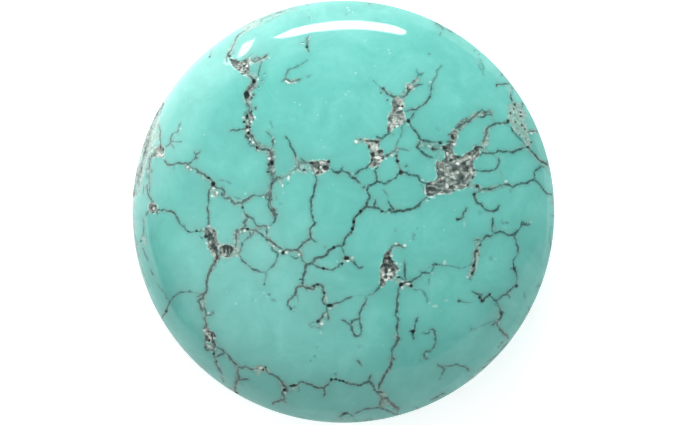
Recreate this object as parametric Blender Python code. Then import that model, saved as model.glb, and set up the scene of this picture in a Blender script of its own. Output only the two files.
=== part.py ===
"""A polished round turquoise cabochon: a low dome on a flat back, with shallow pockets of matrix."""

import math

import bmesh
import bpy
from mathutils import Vector, noise

MM = 0.001

# Round outline and the heights of the profile.
STONE_RADIUS = 15.0 * MM
STONE_HEIGHT = 7.8 * MM
DOME_RISE = 6.3 * MM
EDGE_ROUND = 0.5 * MM
BACK_BEVEL = 0.45 * MM

# How far the dome's ellipse has come round where the dome ends: 1 is upright.
# The left flank rolls over almost to the upright, the right flank least.
REACH_MIDDLE = 0.9725
REACH_SWING = 0.0225

# The dome's mesh: squares along a side, then rounds of splitting near a pocket.
DOME_SQUARES = 34
SPLIT_ROUNDS = 2
SPLIT_MARGIN = 1.35
EDGE_ROUND_STEPS = 3

# Pockets are given in picture steps from the middle of the stone.
STEP = STONE_RADIUS / 211.2

# Each pocket: across, up, half length, half width, turn in degrees, depth in millimetres.
POCKETS = [
    # Big patch of matrix on the right, its arm and its arch.
    (112, 40, 18, 11, 0, 0.32),
    (104, 57, 9, 9, 0, 0.30),
    (93, 25, 11, 8, 15, 0.34),
    (121, 29, 10, 6, 20, 0.30),
    (128, 52, 8, 5, 20, 0.26),
    (110, 75, 4.5, 6.5, 0, 0.26),
    (135, 63, 6, 3.5, 0, 0.24),
    # Patch at the upper right.
    (55, 98, 6, 5, 0, 0.24),
    (48, 91, 4.5, 7, 0, 0.22),
    (61, 89, 3.5, 4.5, 0, 0.20),
    (57, 107, 4.5, 3.5, 0, 0.20),
    (47, 81, 3.5, 4.5, 0, 0.20),
    # Narrow patch between that one and the middle.
    (34, 66, 3.5, 6, 0, 0.22),
    (30.5, 57, 3.5, 6, 0, 0.24),
    (39, 54, 3.5, 3, 0, 0.20),
    # Patch above the middle.
    (-17.5, 44, 4, 3.6, 0, 0.34),
    (-25, 41, 4, 5, 0, 0.22),
    (-31, 49, 4.5, 2.5, 0, 0.16),
    # Round dark blob on the left and the crust beside it.
    (-116, -39, 8.5, 7, 0, 0.38),
    (-132.5, -24, 6.5, 7, 0, 0.30),
    (-130, -37, 4.5, 5.5, 0, 0.30),
    (-126, -47, 3, 3.5, 0, 0.24),
    # Chain of pits down the left half.
    (-130, 27.5, 3.6, 3.8, 0, 0.34),
    (-129, 20, 5, 5, 0, 0.16),
    (-96.5, 117, 3.6, 5, 0, 0.34),
    (-89, 131, 2.8, 3.6, 0, 0.24),
    (-103, 147, 11, 6.5, 0, 0.24),
    (-73, 44, 3, 6.5, 0, 0.20),
    (-67, 32, 4, 3.6, 0, 0.20),
    (-74.5, 14, 4, 5.5, 0, 0.20),
    # Patch below the middle on the right.
    (44, -47, 5, 4.5, 0, 0.28),
    (45, -57, 7.5, 7, 0, 0.30),
    (44, -65, 6.5, 3.2, 0, 0.26),
    (39, -70, 3, 4.5, 0, 0.20),
    (48, -38, 3, 4.5, 0, 0.20),
    # Single pits on the veins.
    (4, -47, 4, 3, 0, 0.28),
    (-13, -93.5, 4.5, 2.8, 10, 0.28),
    (58, 39, 3.2, 3.2, 0, 0.26),
    (70.5, -120, 3.2, 3, 0, 0.24),
    (59, -72.5, 3.2, 2.6, 0, 0.24),
    # Crust at the lower left.
    (-136, -123, 4.5, 7, 0, 0.26),
    (-131.5, -125, 3.6, 5, 0, 0.28),
    (-129, -134, 3, 3.2, 0, 0.26),
    (-58.5, -179, 3.2, 4, 0, 0.22),
    # Crust along the right edge.
    (172, 98, 6, 12, 0, 0.22),
    (180, 84, 5, 6.5, 0, 0.22),
    (185, 70, 4, 7, 0, 0.20),
    # Crust near the left edge.
    (-190, 5, 4, 6.5, 0, 0.20),
    (-183, 59, 5.5, 6, 0, 0.22),
]

# The lip of a pocket slopes between these parts of its half size.
LIP_INSIDE = 0.70
LIP_OUTSIDE = 1.12
# Waviness of the lips and roughness of the floors.
LIP_WAVE = 0.12
LIP_WAVE_SIZE = 1.1 * MM
FLOOR_ROUGHNESS = 0.35
FLOOR_GRAIN_SIZE = 0.5 * MM

STONE_COLOUR = (0.133, 0.497, 0.440, 1.0)
STONE_POLISH = 0.12


def clear_scene():
    """Remove every object that is already in the file."""
    for item in list(bpy.data.objects):
        bpy.data.objects.remove(item, do_unlink=True)


def reach(angle):
    """Part of the dome's ellipse that is used at this direction."""
    return REACH_MIDDLE - REACH_SWING * math.cos(angle)


def dome_drop(part, angle):
    """Drop of the dome below its top at a part of the stone's radius."""
    return DOME_RISE * (1.0 - math.sqrt(1.0 - (reach(angle) * part) ** 2))


def dome_slope(part, angle):
    """Slope of the dome outward, as an angle below the level."""
    used = reach(angle)
    fall = DOME_RISE * used * used * part
    fall /= STONE_RADIUS * math.sqrt(1.0 - (used * part) ** 2)
    return math.atan(fall)


def disc_point(across, up):
    """Map a point of the square grid, both sides from -1 to 1, to the unit disc."""
    return Vector((
        across * math.sqrt(1.0 - up * up / 2.0),
        up * math.sqrt(1.0 - across * across / 2.0),
    ))


def pocket_reach(place, pocket):
    """Distance from a pocket's middle, as a part of its half size."""
    across, up, half_length, half_width, turn, _ = pocket
    offset = place / STEP - Vector((across, up))
    turned = math.radians(turn)
    along = offset.x * math.cos(turned) + offset.y * math.sin(turned)
    beside = offset.y * math.cos(turned) - offset.x * math.sin(turned)
    return math.hypot(along / half_length, beside / half_width)


def pocket_depth(place):
    """Depth of the pockets below the polished dome at a place in plan."""
    spot = Vector((place.x, place.y, 0.0))
    wave = LIP_WAVE * noise.noise(spot / LIP_WAVE_SIZE)
    grain = 1.0 + FLOOR_ROUGHNESS * noise.noise(spot / FLOOR_GRAIN_SIZE)
    deepest = 0.0
    for pocket in POCKETS:
        away = pocket_reach(place, pocket) + wave
        if away >= LIP_OUTSIDE:
            continue
        rise = min(1.0, (LIP_OUTSIDE - away) / (LIP_OUTSIDE - LIP_INSIDE))
        rise = rise * rise * (3.0 - 2.0 * rise)
        deepest = max(deepest, pocket[5] * MM * rise * grain)
    return deepest


def near_pocket(place):
    """True where the dome's mesh is split finer."""
    margin = SPLIT_MARGIN
    return any(pocket_reach(place, pocket) < margin for pocket in POCKETS)


def split_near_pockets(mesh):
    """Halve the grid's squares where a pocket lies."""
    for _ in range(SPLIT_ROUNDS):
        chosen = []
        for face in mesh.faces:
            middle = face.calc_center_median()
            place = disc_point(middle.x, middle.y) * STONE_RADIUS
            corners = [disc_point(v.co.x, v.co.y) * STONE_RADIUS for v in face.verts]
            if near_pocket(place) or any(near_pocket(corner) for corner in corners):
                chosen.extend(face.edges)
        edges = list(dict.fromkeys(chosen))
        bmesh.ops.subdivide_edges(mesh, edges=edges, cuts=1, use_grid_fill=True)


def raise_dome(mesh):
    """Bend the flat square grid into the round dome and sink the pockets."""
    for vert in mesh.verts:
        flat = disc_point(vert.co.x, vert.co.y)
        part = flat.length
        angle = math.atan2(flat.y, flat.x)
        edge_slope = dome_slope(1.0, angle)
        dome_radius = STONE_RADIUS - EDGE_ROUND * (1.0 - math.sin(edge_slope))
        place = flat * dome_radius
        height = STONE_HEIGHT - dome_drop(part, angle)
        slope = dome_slope(part, angle)
        outward = Vector((math.cos(angle), math.sin(angle)))
        normal = Vector((
            outward.x * math.sin(slope),
            outward.y * math.sin(slope),
            math.cos(slope),
        ))
        depth = 0.0 if vert.is_boundary else pocket_depth(place)
        vert.co = Vector((place.x, place.y, height)) - normal * depth


def extrude_edge(mesh, edges):
    """Extrude an open loop of edges and return the new edges and corners."""
    made = bmesh.ops.extrude_edge_only(mesh, edges=edges)["geom"]
    corners = [item for item in made if isinstance(item, bmesh.types.BMVert)]
    new_edges = [
        item for item in made
        if isinstance(item, bmesh.types.BMEdge) and item.is_boundary
    ]
    return new_edges, corners


def close_stone(mesh):
    """Add the rounded edge, the side wall, the bevel of the back and the flat back."""
    edges = [edge for edge in mesh.edges if edge.is_boundary]
    for step in range(1, EDGE_ROUND_STEPS + 1):
        edges, corners = extrude_edge(mesh, edges)
        for vert in corners:
            angle = math.atan2(vert.co.y, vert.co.x)
            first = dome_slope(1.0, angle)
            turn = first + (math.pi / 2.0 - first) * step / EDGE_ROUND_STEPS
            radius = STONE_RADIUS - EDGE_ROUND * (1.0 - math.sin(turn))
            edge_height = STONE_HEIGHT - dome_drop(1.0, angle)
            height = edge_height - EDGE_ROUND * (math.cos(first) - math.cos(turn))
            vert.co = Vector((radius * math.cos(angle), radius * math.sin(angle), height))
    for radius, height in (
        (STONE_RADIUS, BACK_BEVEL),
        (STONE_RADIUS - BACK_BEVEL * 0.3, BACK_BEVEL * 0.3),
        (STONE_RADIUS - BACK_BEVEL, 0.0),
    ):
        edges, corners = extrude_edge(mesh, edges)
        for vert in corners:
            angle = math.atan2(vert.co.y, vert.co.x)
            vert.co = Vector((radius * math.cos(angle), radius * math.sin(angle), height))
    bmesh.ops.contextual_create(mesh, geom=edges)


def stone_material():
    """Plain polished turquoise."""
    material = bpy.data.materials.new("turquoise")
    material.use_nodes = True
    shader = material.node_tree.nodes["Principled BSDF"]
    shader.inputs["Base Color"].default_value = STONE_COLOUR
    shader.inputs["Roughness"].default_value = STONE_POLISH
    return material


def build_stone():
    """Make the whole stone as one closed body."""
    mesh = bmesh.new()
    bmesh.ops.create_grid(mesh, x_segments=DOME_SQUARES, y_segments=DOME_SQUARES, size=1.0)
    split_near_pockets(mesh)
    raise_dome(mesh)
    close_stone(mesh)
    bmesh.ops.triangulate(mesh, faces=mesh.faces[:])
    bmesh.ops.recalc_face_normals(mesh, faces=mesh.faces[:])
    for face in mesh.faces:
        face.smooth = face.normal.z > -0.5
    data = bpy.data.meshes.new("turquoise_stone")
    mesh.to_mesh(data)
    mesh.free()
    data.materials.append(stone_material())
    return bpy.data.objects.new("turquoise_stone", data)


clear_scene()
collection = bpy.data.collections.new("turquoise cabochon")
bpy.context.scene.collection.children.link(collection)
collection.objects.link(build_stone())
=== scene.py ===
"""A polished round turquoise stone with dark matrix veins, lying on its flat back on a pale floor."""

import math

import bmesh
import bpy
import numpy as np
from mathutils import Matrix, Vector, noise
from mathutils.geometry import delaunay_2d_cdt


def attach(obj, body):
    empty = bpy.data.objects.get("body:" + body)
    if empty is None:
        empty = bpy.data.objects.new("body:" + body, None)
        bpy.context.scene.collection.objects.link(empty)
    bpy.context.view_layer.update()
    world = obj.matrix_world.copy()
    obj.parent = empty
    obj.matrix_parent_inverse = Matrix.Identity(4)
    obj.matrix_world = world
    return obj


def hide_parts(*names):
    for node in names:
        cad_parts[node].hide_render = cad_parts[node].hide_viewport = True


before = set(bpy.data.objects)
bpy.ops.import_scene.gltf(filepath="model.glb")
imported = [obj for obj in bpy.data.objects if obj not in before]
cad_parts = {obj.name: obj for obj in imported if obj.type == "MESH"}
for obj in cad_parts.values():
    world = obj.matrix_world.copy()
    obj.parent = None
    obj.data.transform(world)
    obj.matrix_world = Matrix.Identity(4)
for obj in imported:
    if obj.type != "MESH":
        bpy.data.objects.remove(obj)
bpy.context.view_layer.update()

MM = 0.001

# Profile of the stone in millimetres, as in the part's source.
RADIUS = 15.0
HEIGHT = 7.8
DOME_RISE = 6.3
EDGE_ROUND = 0.5
BACK_BEVEL = 0.45
REACH_MIDDLE = 0.9725
REACH_SWING = 0.0225

# The picture: its size, and the stone's round outline in it, in pixels.
PICTURE_WIDTH = 685
PICTURE_HEIGHT = 425
OUTLINE_X = 343.05
OUTLINE_Y = 211.64
OUTLINE_RADIUS = 211.16
PIXEL = RADIUS / OUTLINE_RADIUS

# The camera looks straight down from this height, in millimetres.
CAMERA_HEIGHT = 450.0
OUTLINE_HEIGHT = 2.6
SENSOR_WIDTH = 36.0

# Steps in which the dome's profile is measured, and the spans of the rounded edge, the
# wall and the bevel on the flat chart of the stone, in millimetres.
CHART_STEPS = 2000
ROUND_SPAN = 0.2
WALL_SPAN = 2.4
BEVEL_SPAN = 0.7
WALL_RINGS = 8
BEVEL_RINGS = 5
EDGE_POINTS = 384

# Rounds of finding the point of the dome under a pixel, and the outermost part of its
# radius that the first and the later rounds may reach.
PROJECTION_ROUNDS = 6
FIRST_PART = 0.999
LAST_PART = 0.9995

# Spacing of the mesh's points in millimetres.
BASE_SPACING = 0.33
BACK_SPACING = 0.55
VEIN_SPACING = 0.085
PATCH_SPACING = 0.055
CRUST_SPACING = 0.1
BAND_SPACING = 0.13
STAIN_SPACING = 0.3

# Least distances of the mesh's points in millimetres: from each other, from each other in
# the bands, from the fine points for the wide ones, and from the edge of the dome.
NEAREST = 0.027
WIDE_GAP = 0.07
CLEARANCE = 0.17
EDGE_MARGIN = 0.02

# Grids laid over the patches and crusts: how far past the outline's box they are made and
# past the outline they are kept, in millimetres, and how uneven the points are.
GRID_MARGIN = 0.12
GRID_REACH = 0.1
GRID_GRAIN = 7.3
GRID_WOBBLE = 0.18
GRID_SHIFT = 5.5

# Rows of points beside the middle of a vein and of a band, in half widths.
VEIN_ROWS = (0.0, 1.0, -1.0, 0.5, -0.5, 1.7, -1.7)
BAND_ROWS = (0.0, 0.5, -0.5, 1.0, -1.0, 1.5, -1.5)

# Rings of points round each pit, pale grain and painted highlight: part of its half size, and least number.
PIT_RINGS = ((0.0, 1), (0.55, 5), (1.0, 9), (1.5, 10))
GLINT_RINGS = ((0.0, 1), (1.0, 7), (1.5, 8))

# Depths inside the markings are not followed farther outside than this, in millimetres.
FIELD_LIMIT = 1.2

# Veins: their width against the one read off the picture, how wide a tip is and how much
# it gains at each point, and size, shift and amount of their sideways steps and beads.
WIDTH_SCALE = 0.82
TIP_WIDTH = 0.45
TIP_GROWTH = 0.3
VEIN_STEPS = ((0.34, 60.0, 0.055), (0.13, 80.0, 0.02))
VEIN_BEADS = ((0.45, 0.0, 0.34), (0.17, 40.0, 0.2))

# Stain of the stone beside a vein: its reach in millimetres and its strength.
STAIN_REACH = 0.34
STAIN_STRENGTH = 0.6

# How pale the matrix of the bands is where no band is near, from 0 to 1.
PLAIN_PALENESS = 0.5

# How far the matrix lies below the polish in millimetres, and how uneven its floor is.
PATCH_DEPTH = 0.17
PATCH_ROUGHNESS = 0.45
PIT_DEPTH = 0.2
CRUST_DEPTH = 0.02
BAND_DEPTH = 0.04
BAND_ROUGHNESS = 0.9
VEIN_DEPTH = 0.006

# Values of the markings on the flat back, where they are not 0.
BACK_VALUES = {
    "vein": -FIELD_LIMIT,
    "pit": -FIELD_LIMIT,
    "glint": -FIELD_LIMIT,
    "patch": -FIELD_LIMIT,
    "crust": -FIELD_LIMIT,
    "band": -FIELD_LIMIT,
    "band_pale": PLAIN_PALENESS,
    "unseen": 1.0,
}

# Veins as they are seen in the photograph: width, darkness, and the route as x, y pairs,
# all in pixels of the 685 by 425 picture.
VEINS = {
    "upper left edge": [
        (1.8, 0.7, (247, 25, 252, 22, 256, 20.5)),
        (1.9, 0.8, (260, 22, 263, 19, 266, 17.5, 270, 15.5, 274, 13.5, 278, 12.5, 283, 11.5)),
        (1.5, 0.4, (289, 8.5, 293, 7.5, 297, 6.5)),
        (1.5, 0.4, (266, 22, 270, 20.5, 275, 17.5, 279, 15.5)),
        (1.5, 0.45, (210.5, 56, 210.5, 52.5, 212.5, 49.5)),
    ],
    "upper left crust": [
        (1.9, 0.9, (245.1, 30.9, 242.3, 32.2, 240.1, 33.8, 237.6, 35.6, 236.3, 37.8, 235.1, 40.9, 233.8,
            44.4, 232.6, 46.9, 231.3, 49.7, 229.1, 52.5, 227.6, 55, 226.9, 58.8, 226.6, 61.3)),
        (1.6, 0.7, (232.9, 50, 233.5, 52.5, 231.6, 55)),
        (2.0, 0.9, (251, 60, 254.1, 61.6, 256.6, 61.9, 258.5, 60, 261, 59.1, 264.1, 57.5, 267.6, 55.3)),
        (1.6, 0.8, (254.1, 58.8, 256.6, 57.5, 259.1, 57.8, 261, 59.1)),
        (1.6, 0.5, (247.9, 58.8, 249.8, 56.3, 252.3, 54)),
        (1.9, 0.65, (262, 61, 261, 64.4, 260.4, 66.3, 259.8, 68.8, 258.8, 72.5, 258.5, 75.6)),
        (2.1, 0.9, (246.6, 74.7, 249.1, 75.9, 251.3, 77.2, 254, 80.9)),
        (2.2, 0.9, (254, 80.9, 252.6, 85.6, 251, 87.5, 249.1, 89.4, 246.5, 94.7)),
        (1.8, 0.8, (246.5, 94.7, 246.5, 99.4, 246.6, 102.8)),
    ],
    "upper fork": [
        (2.0, 0.5, (307.6, 60.3, 305.4, 61.6, 302.9, 63.4, 300.4, 64.7, 297.3, 66.9, 293.5, 68.4, 288.5,
            69.7, 286.9, 71.9, 286, 75, 285.7, 78.4, 283.5, 80.3, 281.6, 81.9)),
        (2.0, 0.6, (286, 78.9, 288.2, 80.9, 290.7, 82.2, 294.1, 81.3, 297.9, 80.3, 301.6, 78.4)),
        (2.4, 0.75, (309.8, 36.3, 308.2, 37.8, 306.9, 39.7, 307.3, 42.5, 306.6, 45, 306.9, 48.1, 308.2,
            50.6, 309.1, 52.2)),
        (1.8, 0.7, (301.3, 43.1, 304.1, 43)),
        (1.5, 0.4, (310.4, 75, 308.5, 76.9, 306, 76.3)),
        (1.3, 0.3, (347.3, 13.4, 345.1, 15.3)),
    ],
    "upper right": [
        (1.6, 0.35, (372.5, 79.5, 374.5, 82, 379, 86, 383, 89)),
        (1.6, 0.4, (416.3, 68.8, 416.9, 71.9, 417.9, 74.1)),
        (2.0, 0.6, (424.1, 72.8, 421, 74.1, 418.5, 74.7, 417.6, 76.9, 416, 80, 413.8, 81.9, 412.9, 84.1,
            413.5, 85.9)),
        (2.5, 1.0, (422, 84.5, 418.5, 85, 416, 85.9, 414.1, 87.2)),
        (2.2, 0.45, (441.9, 64.7, 439.8, 67.5, 437.3, 70, 436.6, 75, 435.4, 77.5, 433.5, 80.6, 431.5, 84)),
        (2.6, 1.0, (431, 86.3, 431.6, 88.8, 431.3, 90)),
        (2.0, 0.6, (440.1, 24.4, 441.9, 27.5, 443.5, 30)),
        (2.0, 0.7, (446.6, 29.4, 450.4, 30.9, 453.5, 32.2)),
        (1.5, 0.4, (441, 32.5, 439.8, 35.6)),
        (1.6, 0.35, (479.5, 59, 483.5, 66, 483.5, 70)),
        (2.5, 0.9, (384.5, 90, 387, 93.5, 390.5, 95.5, 394, 97, 397, 96)),
        (2.5, 0.9, (403, 97, 406, 95.5, 408, 92.5, 409, 89.5, 407.5, 87.5)),
        (3.0, 0.95, (396.5, 112.5, 400, 111.5, 402.5, 111)),
        (2.6, 0.6, (395, 115.5, 398, 116)),
        (2.5, 0.85, (390, 117, 391, 119.5, 392.5, 122)),
        (2.3, 0.6, (404, 121, 404.5, 124)),
        (2.0, 0.8, (397, 124, 400, 124.5)),
        (2.2, 0.9, (413.5, 114, 411.5, 117, 409.5, 119)),
        (2.0, 0.85, (411, 109.5, 415.5, 109.5, 418, 107.5, 421, 106, 424, 104, 426.5, 101.5, 429, 98.5,
            430.5, 94, 431, 90, 431.8, 86)),
        (2.0, 0.4, (404.5, 124, 402, 126.5, 401.5, 130, 402, 133, 400.5, 136.5, 398.5, 140, 396.5, 145,
            395.5, 148)),
        (2.6, 0.8, (388, 127, 389, 130, 389.5, 133, 387, 134.5, 384, 137, 381, 138.5, 378, 137.5, 376.5,
            136.5)),
        (1.8, 0.6, (391, 133, 392.5, 134.5)),
        (2.5, 0.9, (411, 126, 413, 129, 416, 132.5, 418.5, 136, 420, 139, 424, 140.5, 429, 141.5, 431,
            141.5)),
        (2.4, 0.9, (420, 140, 419.5, 144, 416.5, 146.5, 419.5, 149, 422, 152, 424.5, 154.5, 428, 156, 433,
            157.5)),
        (2.2, 0.85, (433, 146.5, 432.5, 149.5, 436, 149.5, 438, 149.5)),
        (2.0, 0.75, (447.5, 135, 450, 134.5)),
        (2.4, 0.85, (446, 142, 449, 142, 454, 141.5)),
        (2.0, 0.85, (456, 128, 460, 126, 464.5, 123, 467, 121.5, 470, 120.5, 473, 117.5, 476, 115.5, 479,
            113)),
        (2.0, 0.4, (400, 149, 404, 149.5, 409, 151)),
        (2.4, 0.7, (396, 148, 395.5, 151, 393, 152.5, 391, 153.5, 387, 155, 384, 156.5, 382, 158.5)),
        (2.0, 0.8, (405, 167.5, 407, 165.5)),
        (2.4, 0.85, (401, 172.5, 406, 172.5, 408, 174, 411, 175, 414.5, 175.3, 416.5, 175.5, 418.5, 177.5,
            419.5, 180, 421.5, 182, 424, 183, 427, 183.5)),
        (1.8, 0.35, (420, 184, 422.5, 187, 424, 190)),
    ],
    "left edge": [
        (1.8, 0.8, (165.1, 100, 163.5, 101.9, 162.6, 105, 161.3, 108.1, 160.4, 111.3, 160.1, 113.8, 157.6,
            115, 155.4, 117.5)),
        (1.8, 0.8, (158.5, 123.1, 159.4, 127.5, 160.3, 131.3, 160.3, 136.3, 160.4, 140, 160.4, 143.1, 160.1,
            147.5)),
        (1.9, 0.8, (151.6, 155, 150.7, 160, 150.1, 163.8, 148.8, 167.5, 149.4, 170.6, 149.1, 174.4, 149,
            181)),
        (1.6, 0.7, (151.6, 169.4, 152.3, 172.5)),
        (1.5, 0.6, (145.9, 152.5, 145.7, 155.6, 144.8, 159)),
        (1.7, 0.8, (141.6, 165.6, 140.7, 169.4, 139, 173.8, 138, 176, 137.5, 180, 136, 184, 135, 188, 134,
            192, 133.5, 195)),
        (1.4, 0.35, (145, 175, 144, 178)),
        (1.6, 0.6, (144, 186, 143.7, 190, 143.5, 194.5)),
        (2.0, 0.85, (147, 188.5, 147.5, 191, 148.5, 194, 149.5, 197, 151.5, 200, 152.5, 201.5)),
        (2.0, 0.85, (149, 211, 147.5, 213, 146, 215.5)),
        (1.6, 0.75, (143.2, 219, 143.8, 223, 144, 227, 143.5, 231, 143.3, 234, 142, 237)),
        (1.6, 0.35, (146.5, 236, 146.3, 242)),
        (1.9, 0.8, (142.5, 248, 144, 251, 145, 254, 146.5, 257, 148, 260.5)),
        (1.5, 0.7, (133.5, 223, 134, 228, 136, 238, 137, 243, 137.5, 250)),
        (1.8, 0.75, (150.5, 270, 152, 273, 153.5, 275.5)),
        (1.8, 0.4, (158, 284, 159.5, 287, 162, 290, 164.5, 293, 166, 296, 166, 298)),
        (2.0, 0.85, (171.5, 300, 170, 301.5, 168.8, 304, 168, 307, 166.3, 310, 166, 311.5, 164.8, 314,
            162.5, 317, 160.5, 319)),
        (1.9, 0.8, (178, 293.5, 181.5, 292.5, 185.5, 292)),
    ],
    "left upper branch": [
        (1.9, 0.8, (165.7, 147.8, 167.6, 145.6, 169.8, 143.8, 170.7, 141.6, 173.5, 141.6, 176.6, 142.2,
            181.6, 141.6)),
        (1.8, 0.75, (170.7, 141.6, 170.7, 139.4, 171.3, 136.9, 172.9, 134.4, 175.4, 133.1, 177.9, 131.6,
            179.1, 126.9, 180.7, 123.1)),
        (1.6, 0.4, (171, 143.8, 173.8, 148.1, 173.8, 150.6)),
        (2.0, 0.85, (164.3, 159.1, 165.1, 161.9, 167.3, 164.7, 170.4, 164.7, 173.5, 165, 176, 163.4, 179.1,
            162.8, 182.3, 163.8, 184.8, 162.5, 187.6, 164.1, 190.7, 162.5, 192.9, 160.3, 194.8, 159.1,
            195.4, 155.3, 196.9, 154.1, 198.8, 153.4, 200.4, 151.6)),
        (1.6, 0.7, (195.4, 155.3, 194.8, 153.8, 194.4, 150)),
        (1.4, 0.35, (173.5, 166.3, 173.8, 170)),
        (1.7, 0.6, (188.5, 170.6, 188.8, 168.1, 190.4, 166.9)),
        (2.1, 0.9, (196.5, 169.5, 198, 171.5, 201, 173.1, 204.1, 174.6, 206, 177)),
        (2.1, 0.9, (208.5, 178, 211.5, 180, 213, 183)),
        (2.2, 0.9, (213.5, 186, 217, 187.5, 220, 188.5, 222.5, 189.5, 225, 191.5)),
        (1.6, 0.35, (219.5, 181, 221, 180, 228, 182, 232, 184)),
        (2.4, 0.9, (221.5, 193, 222.5, 196, 224, 198, 227, 198.3, 230, 198.8, 232, 201, 234, 203, 236.5,
            204, 238.5, 203, 242.2, 203, 243.5, 200.5, 246, 199.3, 249, 198, 251.5, 196, 253.5, 195)),
        (1.8, 0.5, (235, 197, 237, 198.3, 240, 198.3)),
        (1.4, 0.3, (262, 195, 261.5, 198)),
        (2.2, 0.9, (208.8, 190, 208.8, 194, 208.5, 198, 208.2, 203, 207.8, 208, 208, 213, 208.3, 218, 208.8,
            223, 208.5, 228)),
    ],
    "left lower branch": [
        (2.3, 0.9, (157.2, 214, 157.2, 211, 158, 209.7, 161, 210.5, 164.5, 209.7, 168, 210.8, 171, 211.2,
            173.5, 212.5, 175, 214.5, 176.5, 217.5, 178.5, 220.5, 179.5, 222.5, 180.2, 224.5)),
        (2.0, 0.85, (182, 226.5, 184.5, 226, 185.3, 228.5, 188, 231.5, 191, 232.2, 194, 231.8)),
        (2.0, 0.8, (196.5, 231.2, 200, 232, 201, 229.5)),
        (2.0, 0.75, (200, 237, 202.5, 238.5)),
        (2.4, 0.95, (217.5, 258.5, 215, 261, 214, 264, 212.5, 266, 211.3, 268.5, 211, 270, 209.5, 271.8,
            208.5, 275, 207.8, 278, 207, 281, 206.3, 284.5, 206.5, 287.5, 206.5, 291, 204.5, 294, 203,
            295.5)),
        (2.0, 0.8, (200, 294.5, 202.5, 294)),
        (1.8, 0.7, (201, 295, 197, 297)),
        (2.5, 0.9, (203, 296, 202.5, 298.5, 200, 299.5, 198.8, 301, 199.2, 303.5, 200.5, 306, 201.5, 308.5,
            202, 311.5)),
        (2.1, 0.75, (204, 308, 205.5, 311, 205.5, 315, 204.7, 319, 205.3, 322, 206.5, 325, 205.5, 326.5,
            204, 328.3)),
        (2.0, 0.85, (205.5, 315, 208.5, 315.5, 211, 315, 213, 313, 213.5, 311.5)),
    ],
    "left web": [
        (2.0, 0.8, (266, 131.9, 268.5, 133.8, 270.7, 135.3)),
        (1.6, 0.35, (270.1, 120.6, 271.3, 123.8, 272.3, 127.8)),
        (2.0, 0.8, (244.8, 128.8, 241.6, 129.4, 237.9, 130, 232.9, 130, 229.8, 131.6)),
        (2.2, 0.9, (246.6, 126.6, 248.4, 133.1, 245.4, 135.6, 248.5, 138.1, 250.1, 141.3, 248.5, 144.4)),
        (2.2, 0.9, (248.4, 133.1, 251, 135, 253.5, 138.8, 255.7, 141.9, 256.3, 143.1)),
        (2.8, 0.95, (256.9, 147.5, 260.4, 149.1, 263.5, 149.4, 266.3, 149.4, 270.1, 150.9)),
        (2.0, 0.7, (270.1, 150.9, 273.5, 154.7, 271.6, 156.6)),
        (3.4, 0.95, (271.9, 160.6, 272.6, 163.1, 271.6, 165.6)),
        (2.2, 0.9, (270.4, 165, 270, 168, 269.5, 171, 271.5, 174, 272.5, 177, 274.5, 180, 272.5, 183, 271,
            185, 271.5, 187.5, 270.8, 190, 269, 192, 267, 195, 265.5, 197.5)),
        (3.0, 0.9, (274.5, 180, 277, 178, 280, 177.5)),
        (1.6, 0.6, (276, 181, 278.5, 182.5)),
        (2.0, 0.85, (270.8, 190, 271, 193, 271.5, 196, 272, 199, 270.5, 200.5)),
        (2.0, 0.85, (269, 192, 266, 195, 265.5, 198, 267.5, 200, 270, 201.5, 270, 204)),
        (2.5, 0.9, (273, 209, 274.5, 211, 275, 213)),
        (2.2, 0.9, (275.5, 217.5, 274.8, 220, 273.5, 222.5, 271.5, 224.5)),
        (2.0, 0.85, (266.5, 230, 266.5, 231, 266.3, 235)),
        (2.0, 0.85, (285.4, 136.3, 286.9, 138.1, 288.8, 141.3, 290.4, 145, 292.6, 149.4, 294.4, 151.9,
            295.4, 155, 295.7, 158.8)),
        (2.0, 0.8, (299.1, 162.5, 298.5, 165.6, 299.8, 169.4)),
        (2.0, 0.8, (301, 158.1, 303.5, 160.6, 306, 161.9)),
        (2.4, 0.9, (245, 213, 246.5, 215.5, 248.5, 217, 251, 217.8, 253.5, 218.5)),
        (2.3, 0.85, (248, 218.5, 245.5, 220.5, 244, 222.5, 245, 225, 243.5, 227.5, 241.5, 229, 239.5,
            230.3)),
        (1.9, 0.75, (238, 229, 236, 231)),
        (2.4, 0.9, (236.2, 234.5, 236.2, 240)),
        (2.8, 0.95, (250, 232.5, 250.2, 235, 251, 237)),
        (2.0, 0.8, (248.5, 237, 246.5, 239)),
        (2.6, 0.9, (242, 243, 242.2, 245.5)),
        (1.8, 0.4, (240.5, 249, 239.5, 252)),
        (2.6, 0.9, (256, 224.5, 257.5, 226, 260, 226.5, 261.5, 226)),
        (2.4, 0.9, (255, 230, 257.5, 231.5, 260, 233.5, 262.5, 235, 265, 237.5, 267, 239.5, 269, 240, 271,
            241.5, 273.5, 243.5, 276, 245.5, 279, 247.5, 282, 248.7)),
        (2.0, 0.85, (272, 247, 272.5, 250, 275, 251.5, 277.5, 253, 277.5, 256, 276.5, 259, 276, 262)),
        (2.6, 0.9, (283, 254, 283, 251.5, 284.5, 250.5, 287.5, 249.8, 290, 250.3, 294, 250, 298, 249.3,
            299.5, 247.5, 301.5, 245.5, 304, 243.5, 306, 241.5)),
        (2.0, 0.8, (298, 249.3, 299.5, 251.5, 300.5, 254)),
        (2.0, 0.85, (290, 255.5, 293, 257.3, 296, 257.8, 300, 257.8)),
        (2.2, 0.9, (240, 256, 241.5, 258.5, 243, 261, 245, 263, 247.5, 264.3)),
        (2.2, 0.9, (251, 268, 253, 269.2, 256, 270.2, 258.5, 271.3, 261, 272.3)),
        (2.6, 0.35, (266, 273, 266, 277)),
        (2.5, 0.9, (274.5, 264, 272.5, 266.5, 271, 267.5)),
    ],
    "middle": [
        (2.9, 0.95, (309, 163, 312, 163, 315, 162.5)),
        (2.2, 0.85, (328.5, 161.8, 330, 159.5)),
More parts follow.
